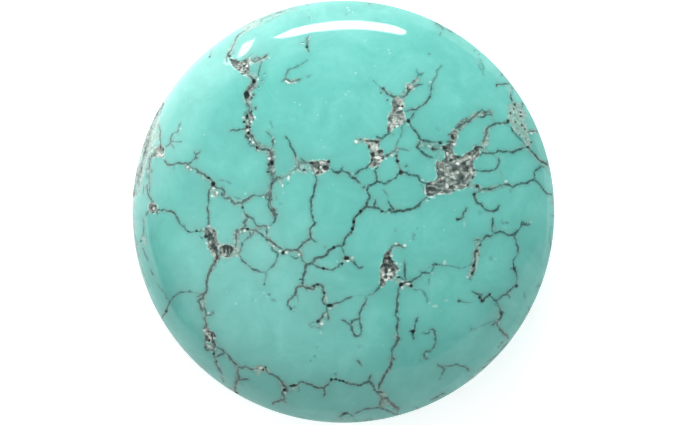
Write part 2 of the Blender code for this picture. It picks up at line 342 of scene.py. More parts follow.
        (2.6, 0.9, (318.5, 166, 318.5, 169)),
        (2.2, 0.9, (317.5, 172.5, 315, 174.5)),
        (2.3, 0.95, (316.8, 180, 316.3, 183, 315, 186, 314.2, 190, 313.5, 194, 312.3, 197, 311.3, 200, 311,
            203, 311.2, 207, 311.3, 211, 312.2, 215, 313, 218, 313.8, 221, 314.8, 222.5, 313, 225.5, 311,
            228, 310.2, 230.5, 310.5, 234, 311, 237, 311, 239, 308.5, 240, 306, 241.5)),
        (2.0, 0.8, (312, 239, 314, 240.8, 316.5, 242)),
        (2.8, 0.95, (331.5, 169, 333.5, 171, 336.5, 172.8, 338.5, 172.8, 341, 171.2, 343.5, 171.5, 346.5,
            172, 349, 173.5, 350.5, 175.5, 351.5, 177.5, 353.5, 178.2, 355, 178.3, 356.5, 180, 358.5, 182,
            360.5, 184)),
        (2.0, 0.75, (341, 171, 341.5, 169, 342.5, 167.5)),
        (2.3, 0.85, (355, 174, 357, 173, 359.5, 170.8, 362, 169.5, 365, 168.3, 367.5, 167, 370, 164, 372,
            161)),
        (1.8, 0.5, (364, 168.5, 361, 170.3, 358.5, 172)),
        (2.3, 0.85, (378, 167, 376, 169, 374.5, 171, 375.5, 172, 376, 175, 377, 178.5, 377.3, 181, 380, 182,
            382.5, 183.3, 384.5, 183.5, 387.5, 182.5, 391, 180.5, 394.5, 178.8, 396.5, 177, 397.5, 175,
            399.5, 173)),
        (2.6, 0.95, (377.3, 181, 375, 183.5, 372, 185, 369.5, 186, 367.5, 188.5, 367, 191, 368.2, 193.5,
            369.3, 196, 369, 198.5, 367.5, 201, 366.8, 204, 366.5, 206, 364.5, 208, 362.5, 210, 361, 211.3,
            359, 213.5, 356.5, 216, 354.5, 218.5, 353.8, 221, 354.2, 223, 353.5, 226, 352.5, 228.5, 352,
            231.5, 349.5, 233.5, 347.5, 235.5, 346, 238, 344.5, 241, 343.5, 244.5, 342.5, 246.5)),
        (2.7, 0.95, (342.5, 246.5, 339.5, 246, 336.5, 246.3, 334, 247.5, 331.5, 249.3, 329, 250, 327.5, 252,
            326.5, 254.5, 324.5, 256, 321.5, 257.2, 318, 258, 315, 259, 313.5, 261, 311.5, 263, 309, 263.7,
            306.5, 263.3)),
        (2.4, 0.9, (366.5, 206.3, 369, 207, 371.5, 207, 374, 207.5, 377, 208, 379.5, 209.3)),
        (2.2, 0.85, (375.3, 199, 375.3, 202, 374, 205, 373.5, 207)),
        (2.2, 0.85, (388.5, 201, 389.5, 203.5, 391, 206, 393, 208.5, 394, 210.5)),
        (2.0, 0.4, (383, 190, 385, 192, 387, 194.5)),
        (1.6, 0.4, (325, 246.5, 325, 248.5)),
        (2.8, 0.95, (421, 202, 419, 204.3, 416.5, 206.5, 414, 208.5, 410.5, 209.3, 407, 209.8, 403.5, 211,
            400.5, 211, 398, 210.8, 395, 212, 392.5, 212, 391, 211, 389.8, 210)),
        (3.0, 0.9, (366, 141, 370, 141, 374, 141, 378, 141.5)),
        (2.2, 0.8, (383, 158, 386, 156.5, 389, 154.5, 391, 154)),
    ],
    "lower middle": [
        (2.8, 0.95, (306.5, 263.5, 306, 267, 305.5, 270, 304.5, 273, 303.5, 276, 303, 279, 302.8, 282,
            302.5, 285)),
        (2.4, 0.9, (302.5, 286, 299.5, 286.5, 297, 287, 296, 289.5, 295.5, 293, 295, 295, 293, 297, 290.5,
            299, 288, 301, 287.5, 303, 288, 305.5, 290, 307.5, 291, 309)),
        (1.6, 0.6, (295, 294.5, 297, 296)),
        (1.6, 0.35, (297.5, 296, 298.5, 300, 298.5, 303)),
        (1.5, 0.2, (293, 311, 297, 313)),
        (2.1, 0.85, (312.5, 264, 316, 265.8, 320, 267.3, 323.5, 268.5, 327, 269.3, 330.5, 269.7, 334, 269.3,
            336.5, 268, 338.5, 266, 339.5, 263.5)),
        (2.4, 0.9, (350.5, 260.5, 353.5, 262, 355.5, 264.5, 357, 266.5, 358.5, 268, 361.5, 267.3, 363.5,
            266.8)),
        (2.2, 0.9, (303, 285.5, 304.5, 287, 306.5, 288.3, 309, 288, 311, 289.7, 313.5, 289.5, 314.5, 287,
            316, 285.3, 318.5, 284.5, 321, 285.5, 323, 287, 323.3, 290, 324, 293, 323.5, 297, 322.7, 300,
            323.2, 302.5, 325, 304.5, 327, 305.3)),
        (3.2, 1.0, (327, 305.3, 330, 305.8, 332, 305)),
        (2.0, 0.75, (332, 304.8, 334, 304, 337, 303.3, 340, 302.3, 342.5, 301.3, 345, 299.5, 348.5, 298,
            352, 296.3)),
        (2.3, 0.85, (327, 306, 326.7, 309, 327, 311.5, 328, 314.5, 328.5, 317.5, 328, 320)),
        (2.0, 0.8, (326.5, 311, 324, 313.5, 322.5, 316.5, 320, 319.5, 318, 321.7)),
        (1.8, 0.35, (310, 323, 309.5, 325, 312, 327, 315.5, 326.8, 319, 328.5, 321.5, 328)),
        (2.3, 0.9, (366.5, 301, 364.5, 304, 362.5, 306.5, 361.5, 310, 360.3, 313, 359.8, 315.5, 359.3,
            318.5, 357, 319.3, 354, 320.3, 352, 322, 350.8, 324.5)),
        (2.2, 0.85, (342, 320, 345, 320.8, 347.5, 322.5, 349.5, 324.5, 350.8, 325)),
        (2.4, 0.9, (350.8, 325, 352, 328, 352.3, 331, 353.5, 333.5, 355.5, 335.8, 358, 336.2, 360, 334.7,
            361.3, 332, 361.3, 328, 360.7, 324, 359.7, 320)),
        (1.6, 0.4, (368, 295, 370, 294.5, 372, 295)),
        (2.0, 0.8, (374.5, 292.5, 376.5, 290, 379, 287, 381, 284)),
        (2.0, 0.75, (357, 360, 359.5, 362.5, 362, 366)),
    ],
    "lower right": [
        (2.6, 0.9, (404, 261.5, 404.7, 265, 405.2, 269, 405, 272.5, 404.5, 276, 405.5, 279)),
        (2.5, 0.9, (399.5, 277.5, 402, 278.5, 404, 280.5, 405.5, 282.3)),
        (2.4, 0.85, (406, 282.2, 409.5, 282, 411.5, 281.5, 415, 279, 418.5, 277, 420.5, 274.5, 421.5, 272.7,
            425, 272.7, 428, 273, 430, 273.5)),
        (1.8, 0.6, (421.5, 272.7, 420, 271)),
        (3.0, 0.95, (405.5, 282.5, 403, 284, 401.3, 284.7)),
        (2.0, 0.8, (409, 285.5, 411.5, 286)),
        (2.7, 0.95, (401, 285, 399.5, 287.5, 398.8, 290.5, 398, 293.5, 397.8, 297, 397.2, 300.5, 397, 304,
            397.2, 308, 396.5, 312, 395.3, 314.7, 397, 317, 398.5, 319.5, 398, 322.5, 397.3, 326, 397, 329,
            397.2, 331.5, 398.7, 333.8)),
        (3.0, 0.95, (397.3, 336.5, 398.7, 338.3, 396.5, 342, 395.5, 345, 393.5, 348, 392, 351, 392, 355)),
        (2.0, 0.8, (392, 357, 394, 359.5, 395, 359.5)),
        (2.2, 0.45, (414, 289, 416, 290, 420, 290, 422.5, 291, 424.5, 293.3, 426, 296.5, 427.5, 299.5,
            427.3, 302.5)),
        (2.4, 0.85, (432, 264.7, 436, 264.5, 439.5, 264.8)),
        (2.4, 0.35, (429.5, 277, 429, 281, 428.7, 284)),
        (1.8, 0.35, (457, 267.5, 460, 268.2, 463, 268.5)),
        (1.6, 0.4, (468, 271, 471, 272)),
        (2.2, 0.5, (458, 300.5, 460, 302, 463, 302, 467, 302.5, 471, 303)),
        (2.4, 0.85, (418, 317, 416.3, 320, 415.5, 323, 415.2, 326, 415, 328.5, 414, 331, 413, 333, 413, 336,
            414, 339)),
        (2.8, 0.9, (410, 331, 412, 331.3, 414.5, 331)),
        (2.5, 0.7, (422.5, 333.3, 426, 333.7, 428.5, 333.3, 429.3, 331.3)),
        (2.4, 0.75, (430, 330, 433, 329.3, 434.5, 331.5, 435.5, 335, 435.5, 339, 435, 344, 433, 347.5,
            430.5, 350.5, 428.5, 351.7, 425.5, 351.3, 424.5, 354, 424.5, 356.5, 424, 358, 426, 358.8, 428,
            358.3)),
        (2.6, 0.9, (397, 245.5, 400.5, 245.3, 402.5, 247, 404.3, 248)),
        (2.4, 0.8, (390, 251.5, 392, 248, 394, 246, 397, 245.5)),
        (2.6, 0.9, (437, 364, 439, 365.5, 441.5, 367, 444, 369.5, 443, 372.5)),
        (2.3, 0.85, (445.5, 366, 449, 366, 453, 365.8, 455.5, 364.3, 457.5, 364, 460, 366, 463, 366.3,
            465.5, 367.3, 467.5, 369.3, 469.5, 370.8)),
        (1.8, 0.35, (440, 377, 440, 380)),
        (3.0, 0.7, (431, 400, 437, 397, 441, 394, 445, 393.5)),
    ],
    "right": [
        (2.5, 0.85, (475.5, 250, 475, 254, 475, 257, 475.5, 260, 474, 265, 474, 266, 474.5, 269.5, 473,
            273.5)),
        (2.4, 0.85, (472.5, 291.5, 475, 293.5, 478, 294.3, 481.5, 294.5)),
        (2.6, 0.85, (480, 297, 481, 299, 482.5, 301.3, 484, 299.5, 486.5, 297, 489.5, 295.3)),
        (2.4, 0.9, (491.5, 297, 494, 299.5, 496, 300.5, 498.5, 299.5, 501, 297, 503.5, 295.2, 506.5, 294,
            508, 292, 510, 290, 512.5, 287.7, 514.5, 285.5)),
        (2.4, 0.85, (506.5, 294.3, 508.5, 295, 509.5, 297.5)),
        (2.2, 0.85, (514.5, 258.5, 513, 260.5, 513.3, 264, 514, 267.5, 514.5, 268.7, 516, 271.5, 516.5, 275,
            517, 278)),
        (1.6, 0.7, (510.5, 268.5, 512.5, 268.8)),
        (1.8, 0.35, (515.5, 281.5, 515, 285)),
        (2.2, 0.35, (524.5, 293, 524.7, 299)),
        (1.6, 0.3, (495.5, 302, 495.8, 306)),
        (2.8, 0.7, (500, 311, 502, 313.5, 501.5, 316, 499.5, 319, 497.5, 321.5)),
        (2.2, 0.75, (492, 325, 494, 324, 495.5, 322)),
        (2.4, 0.8, (497, 324, 498, 327, 500.5, 330, 503, 332.5, 505, 334.5, 507, 335.5, 508.5, 338.5)),
        (2.9, 0.9, (466.5, 208, 465, 211, 463.5, 214, 462.5, 217, 460.5, 219, 458, 219.5)),
        (2.2, 0.85, (480, 191, 482, 189.3, 486, 188.8, 491, 189, 495, 188, 498.5, 186)),
        (2.6, 0.9, (473, 194.5, 474.5, 198, 476, 200.5, 478, 203, 480.5, 204, 482.5, 206.5, 484, 208.3, 487,
            210, 490, 211, 493.5, 211, 496.5, 209.7, 498, 208.5, 499.5, 205)),
        (2.5, 0.9, (504, 184.5, 507, 184.5, 510, 185.5, 513, 187, 516.5, 185.3, 520, 183.7, 524, 183.3, 527,
            182.7, 529.5, 181.3, 532, 180, 534.7, 179.5)),
        (2.2, 0.85, (541, 166.5, 538.5, 168, 536, 170, 534.5, 172, 534.5, 176, 534.7, 179.5, 537.5, 182,
            539.5, 184.5, 542, 188, 544.5, 191, 546.5, 193, 549, 194.3, 552, 194.5)),
        (1.6, 0.35, (510.5, 190, 510.5, 193)),
        (1.6, 0.35, (500, 172, 502, 174.5)),
        (2.0, 0.85, (492.7, 218, 492.7, 221, 492.2, 225, 492, 229, 492.7, 232, 494.5, 233)),
        (2.6, 0.9, (494.5, 233, 497.5, 232.7, 500, 231.5, 503, 232.5, 506, 234, 508.5, 235.5, 512, 234.8,
            515, 233.8, 517, 231.5, 519, 229.8)),
        (2.4, 0.85, (494.5, 233, 492, 235.5, 489, 236.3, 487, 235.5, 485, 237, 483.5, 239.5)),
        (2.0, 0.8, (480, 240, 476.5, 239.8, 474.5, 241)),
        (2.4, 0.85, (515, 234, 515, 238, 515.8, 241.5, 517, 245, 518, 248, 518, 250.5, 518.3, 252.5)),
        (2.8, 0.85, (521, 224.5, 523.5, 222.5, 524, 224, 527, 224.8, 529.5, 224)),
        (2.2, 0.4, (502.5, 220, 502.5, 223, 505.5, 222.5, 509, 223)),
        (2.4, 0.7, (496, 86.5, 498, 85, 502, 84.5, 506, 84, 510, 84)),
        (3.0, 0.9, (510.5, 94, 510.8, 97, 511.5, 100, 512.5, 101.5)),
        (2.5, 0.9, (523, 102.5, 522.5, 105, 522, 107.5)),
        (1.8, 0.8, (528.5, 132, 533, 131, 537.5, 131.5)),
        (1.5, 0.7, (525.5, 137, 525.5, 140)),
        (2.5, 0.85, (511, 127, 513, 131, 514, 132.5)),
        (2.3, 0.9, (477.5, 113.5, 479.5, 111.5, 482.5, 110, 485, 112, 487.5, 112, 491, 112)),
        (2.2, 0.9, (479, 116.5, 481.5, 117.5, 484.5, 116, 486.5, 114)),
        (3.0, 0.9, (474, 149, 476.5, 147, 479, 146.5, 482, 147.5, 483.5, 148.5)),
        (2.4, 0.85, (482.5, 152.5, 481, 155, 480, 156)),
        (2.3, 0.9, (482.5, 152.5, 486, 153.5, 490, 153.5, 494, 153.3, 497, 152.5, 497.5, 150.5, 499, 151,
            503, 151.5, 507, 151.5, 510, 152.3, 513, 152, 515.5, 150.8, 518, 149.7, 521, 149, 523.5, 148)),
        (2.5, 0.85, (509, 120, 508.5, 122.5, 505, 123, 502.5, 123, 500, 123.5, 496, 123.5, 493, 124.5,
            490.5, 126.5, 488, 127.5, 486.5, 130, 486.3, 133, 485.5, 137, 484, 140, 482.5, 143)),
        (2.2, 0.85, (475, 170, 479, 170.8, 483, 171, 487, 171.3, 491, 171, 494, 170, 496.5, 168, 498, 165.5,
            498.8, 162.5, 499, 160, 498.8, 158)),
        (2.5, 0.9, (531, 151, 535, 155, 537.5, 158, 540, 161, 542, 162, 546, 164, 548, 165)),
        (2.0, 0.8, (541, 166.5, 545, 167)),
        (1.7, 0.35, (478, 64, 481, 70, 483.5, 75)),
    ],
    "bottom left": [
        (1.9, 0.5, (214.2, 262.2, 212.7, 265.3, 210.6, 268.4)),
        (2.3, 0.9, (211, 337, 212, 341, 214.5, 345.5, 213.5, 348, 212, 350, 209, 350, 206.5, 350, 205,
            348)),
        (2.2, 0.85, (216.5, 357, 219.5, 355, 222.5, 354, 224.5, 352.5, 222.5, 350, 219.5, 348.5)),
        (2.7, 0.8, (216.3, 361, 217, 364.5, 218.5, 368, 220, 370.5, 222, 373.5)),
        (2.7, 0.9, (228, 355, 229, 356.5, 231, 359, 233, 361.5, 235, 363.5, 237.5, 365)),
        (2.4, 0.9, (237.5, 365, 239.5, 367.5, 242, 368, 244.5, 367, 247, 367.5, 250, 369, 252, 369.3, 254.5,
            369)),
        (2.6, 0.9, (237.5, 369, 237.7, 371, 238, 373, 238.5, 376, 239.2, 379, 237, 381.5, 235.8, 383.5,
            235.5, 387, 235.3, 390, 236.5, 393)),
        (2.4, 0.85, (239.5, 380, 242, 379.8, 245, 379.3, 249.5, 379)),
        (1.8, 0.8, (240.5, 382.5, 242.5, 385)),
        (1.6, 0.8, (265.5, 367, 265.5, 369.5)),
        (2.6, 0.95, (265.5, 370, 268, 372.5, 270.5, 374, 274, 375.5, 277, 377, 279, 379, 281, 381.5, 283,
            383.5, 284, 386, 286, 387, 287, 389, 288, 391.5)),
        (2.5, 0.95, (283, 391, 282.7, 394, 284, 396, 284.5, 398, 283, 400, 279.5, 400.5, 277, 401.5, 274,
            402.3, 273, 404.5)),
        (2.0, 0.8, (283.5, 400.5, 286, 402.5)),
        (2.5, 0.95, (289, 386, 291, 386, 294, 385.5, 297, 385.3, 299, 382.8, 301.5, 381.5, 304, 382.5, 306,
            383.5, 309, 384.3, 312, 385, 314, 386.5, 317, 387.5, 320, 387.8, 323.5, 388, 325, 387, 326.5,
            385.5, 328.5, 384.5)),
        (1.8, 0.4, (299, 386, 299.5, 390, 298, 392)),
        (1.6, 0.7, (293.5, 388, 292, 391)),
        (2.8, 0.6, (222, 378, 224, 383)),
        (2.8, 0.6, (229, 387.5, 231, 388.5)),
        (2.5, 0.9, (324, 389, 324.5, 391, 325, 393.5, 324, 396.5)),
        (2.8, 0.95, (344.5, 382, 347.5, 383.3, 350.5, 384, 354, 384, 357, 384.8, 360, 385, 362, 384.8,
            364.5, 383, 367, 382, 369, 381.8, 372, 384, 373.5, 386, 374.5, 389, 377, 391.5, 380.5, 392, 383,
            393.5)),
        (2.0, 0.8, (369, 381.5, 369.5, 379, 370.5, 376, 371.5, 374)),
        (3.0, 0.95, (379, 388, 379.5, 385, 380.5, 383, 382, 380.5, 383.5, 377.5, 385, 374.5, 387, 371,
            389.5, 368, 390.5, 365, 391.3, 364.5, 391, 361.5)),
        (3.0, 0.85, (380.5, 406, 380.5, 402, 383.5, 398.5, 387, 398.5, 389.5, 401, 392, 403.5, 393, 405,
            396, 407, 398.5, 409, 398, 411)),
        (2.6, 0.8, (356, 413.5, 360, 411, 365, 409, 370, 408.5, 375, 408, 380, 407.5, 384, 409, 388, 410.5,
            391.5, 412, 395, 414, 399, 415.5)),
        (2.8, 0.8, (339.5, 417, 343, 414.5, 345.5, 413.5, 348, 413, 352.5, 416.5)),
    ],
    "joins": [
        (2.0, 0.65, (246.6, 102.8, 249, 107, 248.5, 112, 247.1, 116.3, 245.5, 121, 246.6, 126.6)),
        (2.0, 0.6, (248.5, 144.4, 252, 146, 256.9, 147.5)),
        (2.0, 0.65, (256.3, 143.1, 258, 146, 260.4, 149.1)),
        (2.6, 0.75, (270.1, 150.9, 272, 155, 271.9, 160.6)),
        (1.9, 0.6, (270.7, 135.3, 272.9, 138, 273.6, 142, 272.6, 146.3, 271, 150)),
        (1.7, 0.5, (295.7, 158.8, 298, 161.5, 303, 163, 309, 163)),
        (1.8, 0.45, (277, 180, 283, 178, 289, 174.5, 294, 170, 300, 166.5)),
        (1.8, 0.6, (187, 165.5, 189.5, 168, 193, 168.5, 196.5, 169.5)),
        (1.9, 0.7, (206, 177, 208.5, 178)),
        (2.0, 0.7, (213, 186, 211, 188.5, 208.8, 190)),
        (2.0, 0.7, (225, 191.5, 223.5, 195, 224, 198)),
        (1.9, 0.65, (253.5, 195, 258, 195.8, 262, 195.5, 266, 195.5)),
        (1.8, 0.6, (149, 181, 147.6, 185, 147, 188.5)),
        (2.0, 0.7, (270, 204, 271, 206.5, 273, 209)),
        (1.9, 0.65, (275, 213, 275.8, 215.5, 275.5, 217.5)),
        (1.8, 0.6, (271.5, 224.5, 268.5, 227, 266.5, 230)),
        (1.8, 0.5, (266.3, 235, 266.6, 239.5)),
        (1.8, 0.65, (180.2, 224.5, 182, 226.5, 185.3, 228.5, 188, 231.5)),
        (1.8, 0.65, (194, 231.8, 196.5, 231.2)),
        (1.8, 0.6, (201, 229.5, 203.5, 231.5, 206, 231)),
        (1.9, 0.7, (239.5, 230.3, 237.5, 231.5, 236.2, 234.5)),
        (1.9, 0.7, (236.2, 240, 236.5, 243, 234.8, 246)),
        (1.8, 0.6, (236, 251, 238, 253.5, 240, 256)),
        (1.8, 0.55, (247.5, 264.3, 249.5, 266.3, 251, 268)),
        (1.7, 0.4, (261, 272.3, 264.5, 272.5, 267, 272, 271, 267.5)),
        (1.8, 0.6, (243.5, 228.5, 247.5, 229.5, 251.5, 230, 255, 230)),
        (1.9, 0.6, (251, 237, 252.5, 234, 255, 231)),
        (1.8, 0.55, (261.5, 226, 265.5, 226.3, 268.5, 226.5)),
        (1.9, 0.65, (253.5, 218.5, 254.5, 221.5, 256, 224.5)),
        (1.8, 0.55, (245, 213, 243.3, 210, 242.7, 207.8, 242.2, 203)),
        (1.8, 0.55, (242.2, 245.5, 241, 249, 239, 253)),
        (1.8, 0.5, (246.5, 239, 244, 241, 242, 243)),
        (1.8, 0.6, (298, 249.3, 300.5, 254, 301.5, 257, 302.5, 260, 306, 263)),
        (1.8, 0.6, (276, 262, 274.5, 264)),
        (1.6, 0.3, (271, 267.5, 267.5, 271, 266, 277, 264.8, 281, 264.3, 284.5)),
        (1.7, 0.55, (171.5, 300, 173.8, 297.3, 178, 293.5)),
        (1.7, 0.4, (185.5, 292, 190, 291.5, 195, 293, 200, 294.5)),
        (1.6, 0.45, (166, 298, 169, 299.5, 171.5, 300)),
        (2.0, 0.7, (202, 311.5, 203.5, 308, 204, 306)),
        (2.0, 0.75, (224.5, 352.5, 226.5, 353.8, 228, 355)),
        (3.0, 0.95, (203.6, 328.8, 205, 327.6, 206.6, 325)),
        (2.4, 0.9, (205, 335.5, 206.2, 338, 206.3, 340, 204.3, 341.2)),
        (2.8, 1.0, (211, 338.5, 212.3, 341.5, 214, 344, 215.6, 345.9)),
        (2.0, 0.8, (212.5, 336.5, 213.5, 338.5, 214.5, 341)),
        (2.0, 0.7, (213.5, 354, 214.8, 357.5, 216.3, 361)),
        (2.0, 0.7, (213.5, 348, 213.8, 351, 213.5, 354)),
        (2.0, 0.7, (214.5, 345.5, 217, 347.3, 219.5, 348.5)),
        (2.0, 0.7, (254.5, 369, 257.5, 368.5)),
        (1.9, 0.65, (328.5, 384.5, 330, 382, 331.5, 379.5)),
        (1.9, 0.6, (331.5, 379.5, 336, 379.5, 339.5, 380.5, 343, 381.3, 344.5, 382)),
        (1.9, 0.6, (288, 391.5, 285.5, 391, 283, 391)),
        (1.9, 0.75, (392, 355, 391.5, 358, 391, 361.5)),
        (1.9, 0.75, (398.7, 333.8, 397.3, 336.5)),
        (1.8, 0.6, (377, 391.5, 380, 395.5, 382.6, 398.7)),
        (1.7, 0.45, (430, 273.5, 432.5, 269.5, 434, 266)),
        (1.6, 0.35, (439.5, 264.8, 447, 265.3, 452, 266.5, 457, 267.5)),
        (1.6, 0.35, (463, 268.5, 468, 266, 474, 265.8)),
        (1.9, 0.65, (483.5, 239.5, 481, 242, 480.5, 244, 478, 247, 475.5, 250)),
        (1.9, 0.7, (519, 229.8, 521, 226.5, 523.5, 223)),
        (1.7, 0.5, (518.3, 252.5, 516.5, 255.5, 514.5, 258.5)),
        (1.8, 0.65, (517, 278, 516.5, 282, 516.5, 286)),
        (1.9, 0.7, (489.5, 295.3, 491.5, 297)),
        (1.9, 0.55, (495.5, 300.5, 497.5, 304.5, 500, 308.5, 501.4, 312)),
        (1.9, 0.6, (497.5, 321.5, 497, 324)),
        (1.6, 0.28, (470.3, 330.8, 478, 327.5, 487, 323.5, 495.5, 320)),
        (1.8, 0.5, (406, 111.5, 411, 109.5)),
        (1.8, 0.6, (409.5, 119, 408.5, 121, 404, 122)),
        (2.0, 0.7, (408.5, 121, 410, 124, 411, 126)),
        (1.9, 0.6, (431, 141.5, 435.5, 142, 440.5, 143)),
        (1.8, 0.55, (396, 151, 396.5, 156.3, 397.5, 161.3, 399, 166, 401, 172)),
        (1.9, 0.65, (498.5, 186, 501, 185, 504, 184.5)),
        (1.8, 0.6, (477.5, 186.3, 480, 191, 476.5, 192.5, 474.5, 194.5, 473, 194.5)),
        (1.9, 0.65, (379.5, 209.3, 382.3, 211.5, 386, 212, 389.8, 210)),
        (1.9, 0.7, (421, 202, 424.5, 198.8, 427, 197)),
        (1.8, 0.55, (491, 112, 492, 113.5, 490, 115, 486.5, 114)),
        (1.8, 0.6, (523.5, 148, 526, 147.5, 528, 147)),
        (1.9, 0.6, (528, 147, 529.5, 149, 531, 151)),
        (1.9, 0.6, (514, 132.5, 517, 136, 521, 140, 524.5, 144)),
        (2.0, 0.65, (474, 149, 471, 151.5, 468.5, 153.5)),
        (1.8, 0.45, (336.5, 172.8, 333, 171, 330, 168.5)),
        (1.8, 0.5, (299.8, 169.4, 303, 170.5, 307, 170)),
        (1.8, 0.6, (315, 174.5, 316, 177, 316.8, 180)),
        (1.8, 0.55, (327, 169.5, 331.5, 169)),
        (1.4, 0.15, (352, 296.3, 357, 295.5, 362, 296, 368, 295)),
        (1.7, 0.4, (372, 295, 374.5, 292.5)),
        (1.7, 0.45, (318, 321.7, 314, 322, 310, 323)),
        (1.8, 0.5, (226.6, 61.3, 227.2, 58, 227.6, 55)),
        (1.8, 0.6, (341.5, 246.5, 343, 250, 345, 254, 346, 258)),
    ],
    "left cracks": [
        (2.3, 0.85, (164, 103.5, 161.5, 107, 158.5, 111, 156, 115.5)),
        (1.8, 0.7, (153, 121, 151, 128, 148.5, 136)),
        (2.0, 0.8, (146, 152, 143.5, 158, 141, 166, 138.5, 175, 136.5, 184, 134.9, 191)),
        (1.9, 0.7, (149.5, 157, 149.8, 166, 149.2, 176, 149.8, 186, 149.5, 193)),
        (2.2, 0.85, (268, 204, 269.5, 208, 273, 212, 274.5, 216)),
        (2.2, 0.85, (270.8, 152.5, 271.6, 157, 270.8, 162, 271.6, 168, 271, 173, 272.5, 178.5)),
        (2.4, 0.85, (271.5, 179.5, 274, 180.5, 277, 179)),
        (2.6, 0.9, (266.5, 197, 268.5, 195, 269.5, 198.5, 269, 202)),
        (2.0, 0.8, (271.5, 190, 269.5, 193, 270.5, 197)),
        (2.2, 0.85, (207, 230, 209.5, 234.5, 208.5, 239, 211, 243.5, 214.5, 249, 216, 256)),
        (1.8, 0.8, (212.5, 232, 211, 236.5, 213.5, 240.5)),
        (1.7, 0.75, (205.5, 235.5, 208, 237.5, 212, 238.5)),
    ],
    "right cracks": [
        (2.4, 0.9, (425.5, 182.5, 430, 184, 434, 183.5, 440, 186, 444, 185)),
        (2.6, 0.9, (427, 189.5, 431, 187.5, 437, 190.5, 442, 190)),
        (2.0, 0.8, (437, 167.5, 440, 171, 444, 173, 443, 177, 441.5, 182)),
        (2.0, 0.85, (439.5, 173.5, 446, 176, 452, 179.5, 459, 180.5, 466.5, 182)),
        (1.9, 0.8, (449, 155, 452, 159, 456, 158.5)),
        (1.9, 0.8, (456, 185, 461, 182, 467, 179.5, 471, 173.5)),
        (1.8, 0.75, (462, 164.5, 467, 161, 471, 158, 476, 152, 480, 148.5)),
        (1.8, 0.8, (442, 145.5, 446, 149.5, 450, 153)),
        (1.6, 0.7, (447, 166, 452, 165, 455, 168.5, 460, 171, 461, 176)),
        (1.6, 0.7, (433, 193, 440, 193.5, 447, 190.5, 453, 191)),
        (1.5, 0.6, (444, 160.5, 448, 163.5, 453, 163)),
        (1.5, 0.6, (446, 184.5, 450, 186, 457, 184.5)),
    ],
    "left rim": [
        (2.6, 0.75, (133.3, 205, 133.6, 215, 134, 225, 136, 243, 139, 258)),
        (2.2, 0.5, (139, 258, 143.5, 273, 149, 287)),
        (3.2, 0.8, (160, 108, 157.5, 112.5, 155, 118, 153, 122)),
        (3.0, 0.85, (146, 146, 144, 152, 142, 160, 139, 170, 136.5, 180, 134.5, 190, 133.5, 198)),
    ],
}

